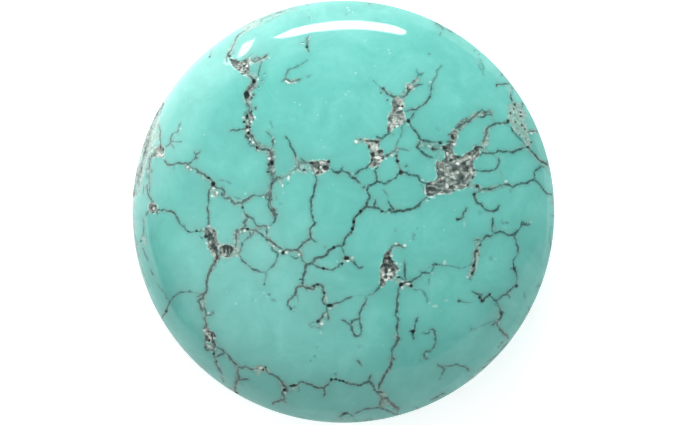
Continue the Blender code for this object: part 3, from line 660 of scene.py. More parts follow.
# Outlines of the crusty patches of matrix, as x, y pairs in pixels of the picture.
PATCHES = {
    "upper left crust": (
        227.6, 53.8, 229.8, 58.1, 232.6, 59, 235.7, 58.4, 237.9, 60, 241, 60.6, 244.1, 59.4, 247.3, 58.4,
        249.8, 60, 249.4, 63.8, 250.4, 65.6, 248.5, 68.8, 247.6, 71.3, 246, 73.4, 244.8, 75, 242.3, 73.8,
        239.1, 71.3, 236.6, 70, 234.1, 67.5, 231.6, 65, 230.4, 61.9,
    ),
    "left edge": (
        160.1, 142.5, 161.6, 146.3, 164.1, 148.1, 164.4, 152.5, 163.8, 157.5, 161, 157.8, 158.5, 156.9, 156,
        156.9, 152.9, 158.1, 151, 157.5, 152.9, 152.5, 154.1, 149.4, 157.3, 147.5, 158.8, 145,
    ),
    "left edge low": (
        150.5, 200, 154, 201.5, 156.5, 205, 157.5, 209, 157, 211, 153.5, 213.5, 150, 212, 148.5, 209, 149.5,
        204,
    ),
    "chain": (
        247.9, 112.5, 251, 110, 253.5, 115, 254.8, 120, 251.6, 123.1, 249.8, 126.3, 247.9, 123.8, 248.5,
        118.8,
    ),
    "left round": (
        219.5, 247, 222, 245.3, 226, 244.6, 230, 245, 233.5, 247.5, 235, 250, 233.5, 252.5, 231, 255, 227.5,
        257, 223.5, 256, 220, 255, 219.3, 251,
    ),
    "left crust": (
        204.5, 229, 209, 227.5, 214, 229, 217, 232.5, 216.5, 237, 218.5, 241, 220.5, 244.5, 219, 249, 218.5,
        254, 219.5, 258.5, 217, 261.5, 214.5, 260, 213, 256, 211, 252.5, 208.5, 249, 208, 244, 206, 240.5,
        204.5, 236,
    ),
    "middle": (
        309.5, 161, 315, 160.8, 321, 160, 327, 161, 329.5, 164, 329.2, 169, 326, 171.8, 321, 173.5, 317,
        175, 313.5, 173.5, 311, 168,
    ),
    "upper right": (
        365, 140, 380, 139, 380, 144, 379, 149, 383, 151, 382, 154, 385, 157, 385, 160, 382, 162, 380, 164,
        378, 166, 374, 168, 371, 168, 369, 165, 371, 160, 370.5, 155, 370, 151, 368, 147, 367, 143,
    ),
    "upper right small": (
        406, 84.5, 409, 83, 413, 84, 413.5, 88, 411, 90.5, 407, 90,
    ),
    "upper right crown": (
        392, 99, 397, 97.5, 402, 98, 404, 101, 403.5, 107, 402, 111, 405, 116, 405, 121, 401, 125, 396, 126,
        392, 130, 388.5, 132.5, 387, 128.5, 388.5, 123, 387.5, 118.5, 390, 113.5, 392.5, 109.5, 391.5, 104,
    ),
    "right": (
        425.8, 183.6, 430.7, 181.3, 435.2, 180, 437.4, 177.3, 437, 173.8, 436.1, 168.8, 435.4, 163.9, 436.5,
        160.4, 441.4, 161.3, 445, 158.6, 446.3, 156.3, 444.6, 152.8, 442.3, 148.3, 443.7, 145.2, 447.2,
        143.8, 453, 144.3, 453.3, 150.1, 454.8, 154.6, 459.3, 155.9, 463.3, 156.3, 466.9, 152.3, 471.8, 151,
        474.5, 147.4, 478, 145.6, 480, 147, 480.5, 151, 480, 155.4, 474, 160.4, 473.1, 163.9, 475.1, 169.3,
        475.1, 173.8, 471.8, 178.7, 468.7, 182.2, 466.9, 186.3, 462.4, 189.4, 455.7, 190.3, 452.6, 192.1,
        448.6, 193.4, 438.8, 193.8, 433.4, 195.2, 428.9, 197, 425.8, 193.8, 424.9, 188.9,
    ),
    "right arm": (
        451, 132, 453, 130, 456, 130, 457.5, 133, 457, 138, 456, 142.5, 453, 144.3, 451.5, 140,
    ),
    "lower right": (
        390, 250, 392, 252, 390, 255, 391.5, 258, 393, 260, 395, 263, 398, 266, 399, 269, 396, 272, 396,
        276, 394, 278, 390, 279, 386, 281, 385, 284, 383, 286.5, 380.5, 286, 379.5, 281, 380, 277, 379.5,
        272, 380, 267, 382, 263, 383, 259, 384.5, 254, 387, 251,
    ),
    "lower left": (
        203.8, 330, 206.5, 326.5, 209, 329, 210.5, 331.5, 213, 331.5, 215, 334, 214.5, 337.5, 214, 340, 216,
        343.5, 216, 347, 214.5, 349, 213, 345, 211, 342, 209, 341.5, 206.5, 341.5, 204.5, 341, 204, 336,
    ),
}

# How much paler than the others some of the patches are.
PALE_PATCHES = {
    "upper left crust": 0.12,
    "left edge": 0.7,
    "left edge low": 0.7,
    "left crust": 0.1,
    "middle": 0.25,
    "upper right": 0.2,
    "upper right small": 0.55,
    "upper right crown": 0.55,
    "lower left": 0.35,
    "lower right": -0.15,
    "left round": -0.1,
}

# Pale crust beside the matrix: a mint to beige mineral. Outlines as above.
CRUSTS = {
    "right edge": (
        508, 104, 513, 101, 520, 104, 522, 108, 527, 114, 525, 120, 527, 125, 528, 130, 529, 136, 532, 142,
        531, 147, 528, 150, 526, 146, 524.5, 142, 522, 138, 519, 136, 515, 132, 511.5, 127, 509.5, 122,
        507.5, 118, 508, 112, 507, 108,
    ),
    "upper left edge": (
        240, 29, 247, 24, 256, 20, 262, 21, 260, 25, 252, 28, 245, 31,
    ),
    "chain": (
        248.5, 92, 250.5, 92, 251, 96.5, 249.5, 101.5, 247.8, 101, 249, 96.5,
    ),
    "left edge": (
        157, 117, 153.5, 124, 150, 132, 147, 141, 144.5, 150, 142, 160, 140, 171, 138.5, 183, 137.5, 196,
        140, 196, 142, 186, 143.5, 175, 145.5, 165, 147.5, 157.5, 150.5, 157, 153, 150, 156, 143, 159, 138,
        158.5, 127, 159.5, 119,
    ),
    "left": (
        209.5, 187.5, 213, 188.5, 217.5, 191, 218.5, 195.5, 215, 198.5, 211.5, 197, 210.5, 193,
    ),
    "upper right ledge": (
        362.5, 138.5, 366, 138, 369, 143.5, 366.5, 144.5, 363, 143,
    ),
    "right": (
        483.5, 129, 486, 128, 488.5, 130, 488, 137, 487, 144, 484, 148, 482.5, 143, 484.5, 137,
    ),
    "right loop": (
        479, 114.8, 482, 112.5, 486, 113, 485.5, 114.8, 481.5, 115.8,
    ),
    "left between": (
        204.5, 297, 202.5, 300, 201, 303.5, 203, 307.5, 205.2, 306, 205.5, 300,
    ),
    "left web": (
        279, 180.5, 282, 180, 282.5, 184.5, 280, 185,
    ),
    "middle drop": (
        325.2, 296, 327.2, 297, 327, 300.5, 328.5, 303.5, 325.5, 302.5,
    ),
    "lower right": (
        381, 266, 384, 266.5, 384, 270, 381, 270,
    ),
    "bottom left": (
        257.5, 365.5, 262, 365, 265, 368, 266, 370.5, 262, 371.5, 258, 376, 256.5, 375, 257, 370,
    ),
    "bottom": (
        380, 391, 384, 390, 387, 393, 386, 400, 384, 408, 380, 408, 381, 400,
    ),
    "left edge foot": (
        142, 236, 145, 235.5, 146, 240, 145.5, 245, 142.5, 245,
    ),
    "right foot": (
        472.5, 250, 476, 249, 480.5, 252, 479.5, 257.5, 473.5, 257.5,
    ),
    "round rim": (
        217, 244, 222, 242.5, 229, 242.5, 235, 246, 237.5, 250.5, 235.5, 255, 230, 259, 222, 258.8, 217.5,
        255.5, 218.5, 250,
    ),
}

# Dark pits and dots: x, y, half width, half height, darkness.
PITS = [
    # Upper left.
    (243.5, 65, 1.8, 1.6, 0.9), (238.5, 69.4, 1.6, 1.4, 0.9), (245, 70.6, 1.5, 1.4, 0.9),
    (247.9, 69.4, 1.2, 1.2, 0.8), (246.6, 67.5, 1.2, 1.1, 0.8), (229.5, 56, 1.6, 1.6, 0.8),
    (264.4, 74.4, 1.2, 1.2, 0.7), (262.6, 80.6, 1.2, 1.2, 0.6), (259.1, 87.2, 1.2, 1.2, 0.6),
    (240, 66.5, 1.3, 1.0, 0.85), (236.5, 64.5, 1.2, 0.9, 0.8), (243, 68, 1.3, 1.1, 0.85),
    (241, 62.5, 1.2, 0.9, 0.7), (254, 80.9, 1.8, 2.7, 1), (246.5, 94.7, 2.9, 4.2, 1),
    (254.1, 95, 1.2, 1.2, 0.7), (251.6, 98.1, 1.2, 1.2, 0.7), (247.9, 106.6, 1.2, 1.2, 0.4),
    (251.3, 111.6, 1.3, 1.3, 0.8), (255.7, 107.5, 1.1, 1.1, 0.7), (255.9, 109.4, 1.1, 1.1, 0.7),
    (247.1, 116.3, 1.5, 2.8, 1), (243.8, 121.9, 1.4, 1.4, 0.9), (246.6, 126.6, 1.6, 1.6, 0.95),
    (249.8, 127.2, 1.3, 1.3, 0.8), (248.4, 133.1, 1.7, 1.7, 0.95), (209.5, 57, 1.5, 1.5, 0.6),
    # Upper middle.
    (309.9, 17.2, 1.3, 2.3, 0.8), (308.8, 10.6, 1.2, 1.2, 0.4), (307, 46.8, 1.4, 2.1, 0.75),
    (334, 88.5, 1, 1, 0.3), (349, 87.5, 1, 1, 0.3), (361, 98, 1, 1, 0.3), (333.5, 107, 1, 1, 0.3),
    (429.8, 54.1, 1.2, 1.2, 0.7), (474.8, 50.6, 1.5, 1.5, 0.7), (383.5, 88.8, 1.3, 1.3, 0.8),
    (479, 54.5, 1.2, 1.2, 0.7),
    # Upper right.
    (407.9, 88.8, 1.3, 1.3, 0.8), (410.4, 89.4, 1.3, 1.3, 0.8), (387.5, 100.5, 1.4, 1.4, 0.9),
    (381, 93, 1.1, 1.1, 0.6), (399, 105.5, 1.3, 1.3, 0.95), (402.3, 106, 1.4, 1.4, 0.95),
    (408.5, 121, 1.9, 1.9, 0.95), (437.5, 129, 1.2, 1.2, 0.4), (440.5, 143, 1.7, 1.7, 0.9),
    (445, 147.7, 2.3, 2, 0.95), (453, 136.5, 2, 3, 0.9), (433.4, 149.2, 1.4, 1.2, 0.8),
    (396.5, 156.3, 1.2, 1.2, 0.7), (397.5, 161.3, 1.6, 1.6, 0.9), (401, 172.5, 2.3, 2.3, 0.9),
    (360.5, 139.5, 1, 1, 0.7), (369.5, 147, 1.4, 1.4, 0.9), (373, 154.5, 1.8, 2.5, 1),
    (372.5, 160, 1.3, 1.3, 0.9), (383, 158, 1.5, 1.5, 0.9), (379, 151, 1.3, 1.2, 0.8),
    (382, 151, 1.2, 1.2, 0.8), (377, 142, 2, 1.4, 0.8), (374.5, 165, 1.4, 1.2, 0.8),
    # Right patch.
    (451.5, 160, 1.8, 1.6, 1), (459, 157, 1.7, 1.4, 0.85), (464.5, 163.5, 2.6, 1.3, 0.9),
    (468, 167.5, 1.5, 1.5, 0.85), (437.5, 167.5, 1.1, 1.2, 0.7), (439, 171.5, 1.0, 1.2, 0.7),
    (454, 170, 1.4, 1.3, 1), (452, 175, 1.2, 0.9, 0.7), (433, 189, 4.4, 2.2, 0.85),
    (428, 191.5, 1.5, 1.5, 0.8), (441, 182, 1.5, 1.4, 1), (463.5, 177.5, 1.1, 2.6, 0.8),
    (453, 187.5, 3.6, 1.8, 0.85), (446.5, 192, 2.5, 1.4, 0.8), (430, 194.5, 2.8, 1.4, 0.85),
    (454, 191, 1.3, 1.2, 0.7), (442, 174, 1.0, 1.1, 0.7), (468, 185, 1.3, 1.5, 0.8),
    (474, 170, 1.2, 1.6, 0.8), (473, 177.5, 1.2, 1.8, 0.8), (429, 199.5, 1.3, 1.2, 0.6),
    (447.5, 147, 1.5, 1.2, 0.7), (477.5, 149.5, 1.6, 1.6, 0.8), (470, 154, 1.6, 1.2, 0.7),
    (446.5, 166.5, 1.0, 0.9, 0.6),
    # Right edge.
    (497.3, 85.3, 1.6, 1.4, 0.6), (512.5, 88, 1.6, 1.6, 0.5), (515, 104.5, 1.7, 1.7, 0.9),
    (521, 112.3, 1.3, 1.2, 0.9), (521, 116, 2.5, 1.1, 0.9), (510.8, 113, 1.2, 1.2, 0.8),
    (508.5, 121, 1.8, 1.8, 0.9), (522.5, 125.5, 1.4, 1.6, 0.9), (525, 129, 1.3, 1.3, 0.8),
    (520, 135, 1.3, 1.3, 0.8), (531.5, 142.5, 1.2, 1.2, 0.8), (528, 147, 2, 1.4, 0.9),
    (516, 122, 1.4, 1.4, 0.6), (514, 109, 1.3, 1.3, 0.6), (551.5, 227.5, 1.2, 1.4, 0.6),
    # Left edge.
    (159.8, 147.5, 1.3, 1.3, 0.8), (162.6, 149.4, 1.3, 1.3, 0.8), (153.8, 206, 1.2, 1.2, 0.8),
    (152.5, 212.5, 1.1, 1.1, 0.7), (141, 241.5, 1.3, 1.3, 0.8), (156, 156, 1.2, 1.1, 0.6),
    (162.5, 156, 1.2, 1.2, 0.6), (190, 291.5, 1.2, 1.2, 0.4), (173.8, 297.3, 1.3, 1.3, 0.4),
    (166.5, 311.5, 1.5, 1.5, 0.8),
    # Left.
    (213, 184, 2.2, 2.5, 1), (208.5, 178, 1.5, 1.5, 0.9), (196.5, 231.2, 1.4, 1.4, 0.85),
    (196.6, 158.4, 1.2, 1.2, 0.6), (206, 228.5, 1.3, 1.3, 0.8), (213.3, 231.5, 1.4, 1.3, 0.8),
    (209.5, 235, 2.5, 1.6, 0.95), (205.8, 237, 1.7, 1.9, 0.95), (212.5, 238, 1.3, 1.3, 0.8),
    (223.6, 250.6, 1.2, 4.0, 0.95), (227, 250.8, 1.0, 4.8, 0.9), (230.6, 250.2, 1.3, 3.8, 0.9),
    (212, 246, 1.6, 1.5, 0.85), (214.8, 248.6, 2.3, 2.2, 0.95), (210.5, 249, 1.2, 1.2, 0.8),
    (217, 251, 1.3, 1.3, 0.85), (216.7, 258, 1.9, 2.2, 0.85), (188, 231.7, 1.3, 1.3, 0.8),
    # Left web.
    (256.9, 147.5, 1.4, 1.4, 0.9), (268.8, 164.7, 1.5, 1.4, 0.8), (268, 172, 1.2, 1.2, 0.8),
    (272.6, 141.6, 1.2, 1.2, 0.7), (304.1, 170, 1.3, 1.3, 0.8), (242.7, 207.8, 1.3, 1.3, 0.8),
    (277, 214.5, 1.2, 1.2, 0.7), (247.5, 229.2, 1.5, 1.6, 0.9), (272, 163, 2, 2.4, 0.95),
    (287.5, 183.5, 1, 1, 0.3), (276, 196.3, 1, 1, 0.3), (280, 204, 1, 1, 0.3),
    (264.3, 284.5, 1.2, 1.2, 0.4), (269.3, 294.5, 1.5, 1.5, 0.8), (273.5, 300, 2.2, 1.2, 0.45),
    (253, 300, 1.2, 1.2, 0.35), (283, 252.8, 1.7, 1.8, 0.9),
    # Middle.
    (325.5, 167.5, 3.2, 2.6, 1), (328.5, 161.8, 1.5, 1.4, 0.9), (318.5, 167.5, 1.3, 1.8, 0.85),
    (317.5, 172.5, 1.8, 1.7, 0.95), (321.5, 172.3, 1.2, 1.2, 0.8), (311.5, 163, 1.8, 1.4, 0.85),
    (364, 187.5, 1.6, 1.8, 0.7), (361, 211.3, 1.7, 1.7, 0.95), (382.3, 211.5, 1.6, 1.6, 0.85),
    (354, 222, 1.7, 1.8, 0.95), (352.5, 229, 1.7, 1.7, 0.95), (334, 247.5, 1.7, 1.7, 0.95),
    (417.5, 229, 1.6, 1.6, 0.4), (414.5, 235.5, 1.3, 1.8, 0.75), (413, 239, 1.2, 1.2, 0.35),
    (394.5, 229.5, 1.1, 1.1, 0.35), (389.8, 210, 1.6, 1.6, 0.7), (457.8, 219.5, 1.6, 1.5, 0.8),
    # Lower middle.
    (346.8, 258.5, 2.9, 2, 1), (342.3, 264, 1.5, 1.5, 0.85), (323.5, 268.5, 1.6, 1.5, 0.9),
    (313.7, 285.9, 1.5, 1.2, 0.85), (317.8, 284.6, 1.4, 1.1, 0.85), (324, 293, 1.2, 1.3, 0.85),
    (329.8, 305.7, 3.4, 1.8, 1), (291, 309, 1.1, 1.2, 0.7), (318, 321.7, 1.7, 1.7, 0.85),
    (295, 307.5, 1.1, 1.1, 0.3), (300.5, 279.5, 1.4, 1.3, 0.8), (315, 356.5, 1.5, 1.5, 0.6),
    (311, 360.5, 1.5, 1.5, 0.5), (317.5, 347.5, 1.2, 1.2, 0.4), (360, 346.5, 1.2, 1.2, 0.4),
    # Lower right patch.
    (385.5, 258.5, 1.5, 1.5, 0.9), (389.5, 258.5, 2.2, 2.1, 1), (392, 261.5, 1.6, 1.6, 0.9),
    (385.8, 265.3, 2, 2, 1), (389.5, 266.5, 1.5, 1.5, 0.9), (386.3, 271.5, 1.6, 3, 0.95),
    (393.5, 270, 1.6, 1.6, 0.9), (386, 277.3, 1.8, 1.6, 0.95), (391.5, 277.3, 1.6, 1.5, 0.9),
    (382.3, 280.5, 1.6, 1.5, 0.9), (381.5, 285, 1.3, 1.3, 0.8), (388, 253.5, 1.4, 1.4, 0.8),
    (398.8, 277.3, 1.6, 1.5, 0.85), (401.3, 284.7, 2.1, 2, 1), (411.5, 286, 1.8, 1.6, 0.9),
    (390, 262.5, 1.3, 1.3, 0.8),
    # Lower right.
    (413.5, 331.5, 2, 2, 0.95), (429.5, 268, 1.2, 1.2, 0.35), (471, 264.5, 1.2, 1.2, 0.35),
    (474, 265.8, 2, 2, 0.9), (472.5, 273.5, 1.8, 1.8, 0.9), (470, 279.5, 1.3, 1.2, 0.35),
    (459, 301, 2, 1.8, 0.6), (421, 360.5, 1.2, 1.2, 0.35), (477, 251, 1.6, 1.6, 0.85),
    (479, 256, 1.2, 1.2, 0.4), (489.8, 294.7, 1.8, 1.8, 0.9), (482.5, 301, 1.8, 1.7, 0.85),
    (479.8, 297.5, 1.6, 1.5, 0.85), (516.5, 286, 1.8, 1.8, 0.9), (514.5, 268.7, 1.8, 1.7, 0.85),
    (491, 258.5, 1.2, 1.2, 0.35), (502, 313, 2.5, 2.3, 0.6), (498.5, 346.5, 1.5, 1.5, 0.7),
    (502, 342.5, 1.8, 1.7, 0.7), (471.5, 328.5, 1.1, 1.1, 0.35), (480.5, 245.2, 1.4, 1.5, 0.8),
    # Right.
    (477.5, 186.3, 1.6, 1.6, 0.85), (474.5, 194.5, 1.8, 1.8, 0.9), (480, 213, 1.1, 1.1, 0.35),
    (500, 228, 1.1, 1.1, 0.35),
    # Lower left.
    (207.5, 332.5, 1.2, 0.9, 0.85), (210.9, 336.4, 1.4, 2.5, 1), (213.4, 333.2, 1.0, 1.1, 0.85),
    (214.7, 335.8, 1.0, 1.3, 0.95), (208.7, 340.7, 1.3, 1.2, 1), (205.5, 347.5, 1.1, 1.3, 0.9),
    (213.6, 354.1, 1.3, 1.5, 0.95), (284.5, 390, 1.8, 1.8, 1), (263, 370, 1.4, 1.3, 0.8),
    (265.5, 367.5, 1.3, 1.5, 0.8), (236.5, 393, 1.5, 1.5, 0.8), (291.5, 386.3, 1.6, 1.5, 0.9),
    (294, 385.5, 1.6, 1.5, 0.9), (331.5, 379.5, 1.6, 1.6, 0.85), (336, 379.5, 1.6, 1.6, 0.85),
    (339.5, 380.5, 1.4, 1.4, 0.85), (343, 381.3, 1.7, 1.6, 0.9), (336, 374, 1.5, 1.5, 0.7),
    (345.5, 413.5, 3.4, 1.8, 0.8),
]

# Pale grains of the matrix, and painted highlights where the lips of the matrix and the rims of pits
# catch the light, all painted near white: x, y, half width, half height, brightness.
GRAINS_AND_GLINTS = [
    (246.3, 65.3, 1.6, 1.3, 1), (249.8, 62.5, 1.2, 1, 0.9), (243.2, 62.5, 1.3, 1, 0.9),
    (241, 71.9, 1.6, 1.1, 0.6), (245, 75.3, 1.5, 1.1, 0.6), (258, 79.5, 1.2, 1.2, 0.8),
    (286.3, 81.3, 1.2, 0.9, 0.9), (288, 82.5, 1.2, 0.9, 0.8), (254.8, 117.5, 1.2, 1.4, 0.9),
    (251.3, 121.6, 1.3, 1.3, 0.9), (243.2, 117.5, 1.2, 1.4, 0.6), (247.3, 130.3, 1.3, 1.2, 0.9),
    (252.9, 142.5, 1.3, 1.3, 0.9), (249.8, 139.4, 1.2, 1.2, 0.6), (269.1, 158.4, 1.5, 1.3, 0.9),
    (272.9, 137.5, 1.2, 1.2, 0.7), (274.6, 141.3, 1.2, 1.2, 0.7), (295.1, 102.5, 1.1, 1.1, 0.6),
    (299.8, 104.4, 1.1, 1.1, 0.6), (347.4, 7.5, 1.1, 1, 0.8), (349, 10.5, 1.1, 1.3, 0.8),
    (352.6, 12.5, 1.1, 1, 0.7), (355.5, 73, 1.1, 1.1, 0.6), (388.8, 49.7, 1.1, 1.1, 0.7),
    (390.1, 53.1, 1.1, 1.1, 0.7), (365, 40.5, 1, 1, 0.6), (375, 66, 1, 1, 0.6), (348.5, 91.3, 1.2, 1, 0.5),
    (345.5, 94.5, 1.2, 1, 0.5), (341, 116, 1.1, 1, 0.5), (318, 115, 1.1, 1, 0.5),
    (411, 86.3, 1.6, 1.2, 0.6), (430.4, 81.9, 1.3, 1.2, 0.9), (400.5, 107.8, 1.6, 1, 0.9),
    (399, 120, 1.5, 1.3, 0.5), (389, 122.5, 1.3, 1.2, 0.8), (397, 126.3, 1.3, 1, 0.8),
    (408.3, 124.5, 1.6, 1, 0.5), (429, 146, 1.5, 1.1, 0.4), (356, 141.5, 1.8, 1.6, 1),
    (378, 157.3, 3.5, 1.5, 1), (376.5, 147.5, 1.6, 1.6, 0.4), (454.5, 144.5, 1.6, 1.2, 0.9),
    (392, 155.5, 1.8, 1.1, 0.5), (386, 158.5, 1.5, 1.1, 0.5), (458.3, 163.3, 2.2, 1.5, 1),
    (447.7, 185.8, 2, 2.7, 0.9), (448, 153.5, 1.4, 1.8, 0.8), (443, 178, 1.6, 1.8, 0.6),
    (458, 172, 2, 1.6, 0.6), (440, 193.9, 2.6, 0.9, 0.9), (432.5, 197.3, 3, 0.9, 0.8),
    (427, 200.5, 2.2, 0.9, 0.7), (425.2, 191.5, 0.9, 2.8, 0.7), (471, 157, 1.6, 1.5, 0.7),
    (434, 183, 2, 1.2, 0.7), (423, 180, 2, 1, 0.8), (187.9, 166.9, 1.3, 1.1, 0.8),
    (180.7, 128.8, 1.2, 1.2, 0.6), (204.1, 134.7, 1.1, 1.1, 0.6), (191, 169.4, 1.2, 1.1, 0.5),
    (161.9, 154.4, 1.4, 1.3, 0.9), (156.3, 155, 1.3, 1.1, 0.8), (153.5, 203.5, 1.5, 1.2, 0.9),
    (152, 208.5, 1.3, 2, 0.8), (213.5, 188.2, 1.6, 1, 0.9), (217, 192.5, 1.3, 1.4, 0.8),
    (212, 196, 1.5, 1.4, 0.8), (209, 226, 1.3, 1.2, 0.6), (206.3, 243, 1.5, 1.2, 0.6),
    (210, 230.5, 1.6, 1.1, 0.5), (209.5, 242, 1.5, 1.1, 0.5), (288.5, 178, 1.3, 3, 0.8),
    (282.5, 185.5, 1.2, 1.2, 0.8), (283.5, 192.5, 1, 1, 0.4), (263.5, 197, 1, 1.4, 0.4),
    (245.5, 193.5, 1.2, 1, 0.4), (268.7, 227.5, 1.3, 1.3, 0.5), (244.5, 230.5, 1.2, 1.2, 0.7),
    (273.5, 246, 1.2, 1.2, 0.5), (280, 251, 1.8, 1.5, 0.5), (286.5, 252.5, 1.5, 1.2, 0.8),
    (299, 254.5, 1.3, 1.2, 0.8), (264, 293, 1.4, 0.8, 0.4), (267, 296.5, 1.5, 0.8, 0.45),
    (255.5, 300.5, 1.6, 0.9, 0.35), (236, 303.5, 1.5, 1.3, 0.5), (322.3, 162.2, 2.6, 1, 1),
    (320.5, 167, 1.1, 1.4, 0.8), (352.5, 173.5, 1.2, 1.2, 0.5), (348, 261, 1.8, 1.1, 0.9),
    (337, 261.5, 1.5, 1.3, 0.4), (352, 258, 1.1, 1.3, 0.5), (322, 324, 1.9, 1.1, 0.8),
    (330, 308.5, 1.5, 1.1, 0.5), (321, 333, 1.3, 1.1, 0.4), (389.5, 270.5, 1.6, 1.5, 0.9),
    (389.5, 274.5, 3, 1.4, 0.9), (383.5, 275, 1.3, 1.8, 0.8), (386, 280, 1.5, 1, 0.8),
    (391.5, 256, 1.2, 1.2, 0.8), (396.8, 272, 1.2, 1.6, 0.5), (396.8, 263.5, 1.3, 1.3, 0.5),
    (400.5, 264, 1.2, 1.2, 0.5), (398, 275.5, 1.3, 1, 0.5), (402.5, 281.3, 1.9, 1, 0.5),
    (402.3, 288, 1.3, 2, 0.5), (408, 284, 1.8, 1, 0.9), (432, 273.5, 1.5, 1.2, 0.5),
    (429.5, 303, 1.3, 1.3, 0.5), (435, 306, 3, 1.4, 0.7), (446, 300.5, 2.5, 1.1, 0.4),
    (444.5, 262.5, 1.8, 2.4, 0.8), (467.5, 277, 1.4, 1.3, 0.4), (426.5, 354.5, 1.2, 1.2, 0.5),
    (404.5, 245.5, 1.7, 1.5, 0.8), (396, 243.8, 1.5, 1.1, 0.6), (388, 212.5, 1.2, 1.2, 0.4),
    (424, 226, 1.1, 1.1, 0.4), (410.5, 241, 1.1, 1.1, 0.4), (444, 230, 1.1, 1.1, 0.4),
    (464.5, 224, 1.5, 3.6, 0.4), (506, 181.3, 2, 1.6, 0.5), (531, 222, 1.6, 1.4, 0.5),
    (495.5, 259, 1.4, 1.2, 0.4), (521, 114.3, 1.5, 0.8, 0.9), (514, 112, 1.6, 1.3, 0.6),
    (531.5, 133.3, 2, 0.9, 0.9), (526, 127.7, 1.2, 1, 0.5), (204.5, 330.5, 1.3, 1.2, 0.8),
    (206.5, 334.5, 1.3, 1.2, 0.8), (208.5, 338.5, 1.3, 1.1, 0.8), (214, 338.5, 1.3, 1.2, 0.8),
    (209, 346.5, 2, 1.6, 0.6), (208.5, 313, 1.3, 1.1, 0.7), (284.8, 393, 1.2, 1.2, 0.6),
    (293, 389, 2, 1.1, 0.4), (260.5, 368, 2, 1.6, 0.7),
]

# Stained bands along the very edge of the stone: width, amount, route.
EDGE_STAINS = [
    (3.0, 0.8, (152, 128, 148, 136, 144, 146, 141, 156, 138.5, 166, 136.5, 176)),
    (2.2, 0.5, (552, 195, 552.5, 200, 552, 206)),
    (2.6, 0.8, (466, 381, 477, 373, 487, 364, 497, 353, 506, 341)),
    (2.6, 0.6, (330, 420.5, 340, 420.5, 350, 420)),
    (2.4, 0.5, (241, 395.5, 250, 399.5, 262, 404.5)),
    (2.2, 0.5, (226, 384, 232, 389, 238, 393)),
]

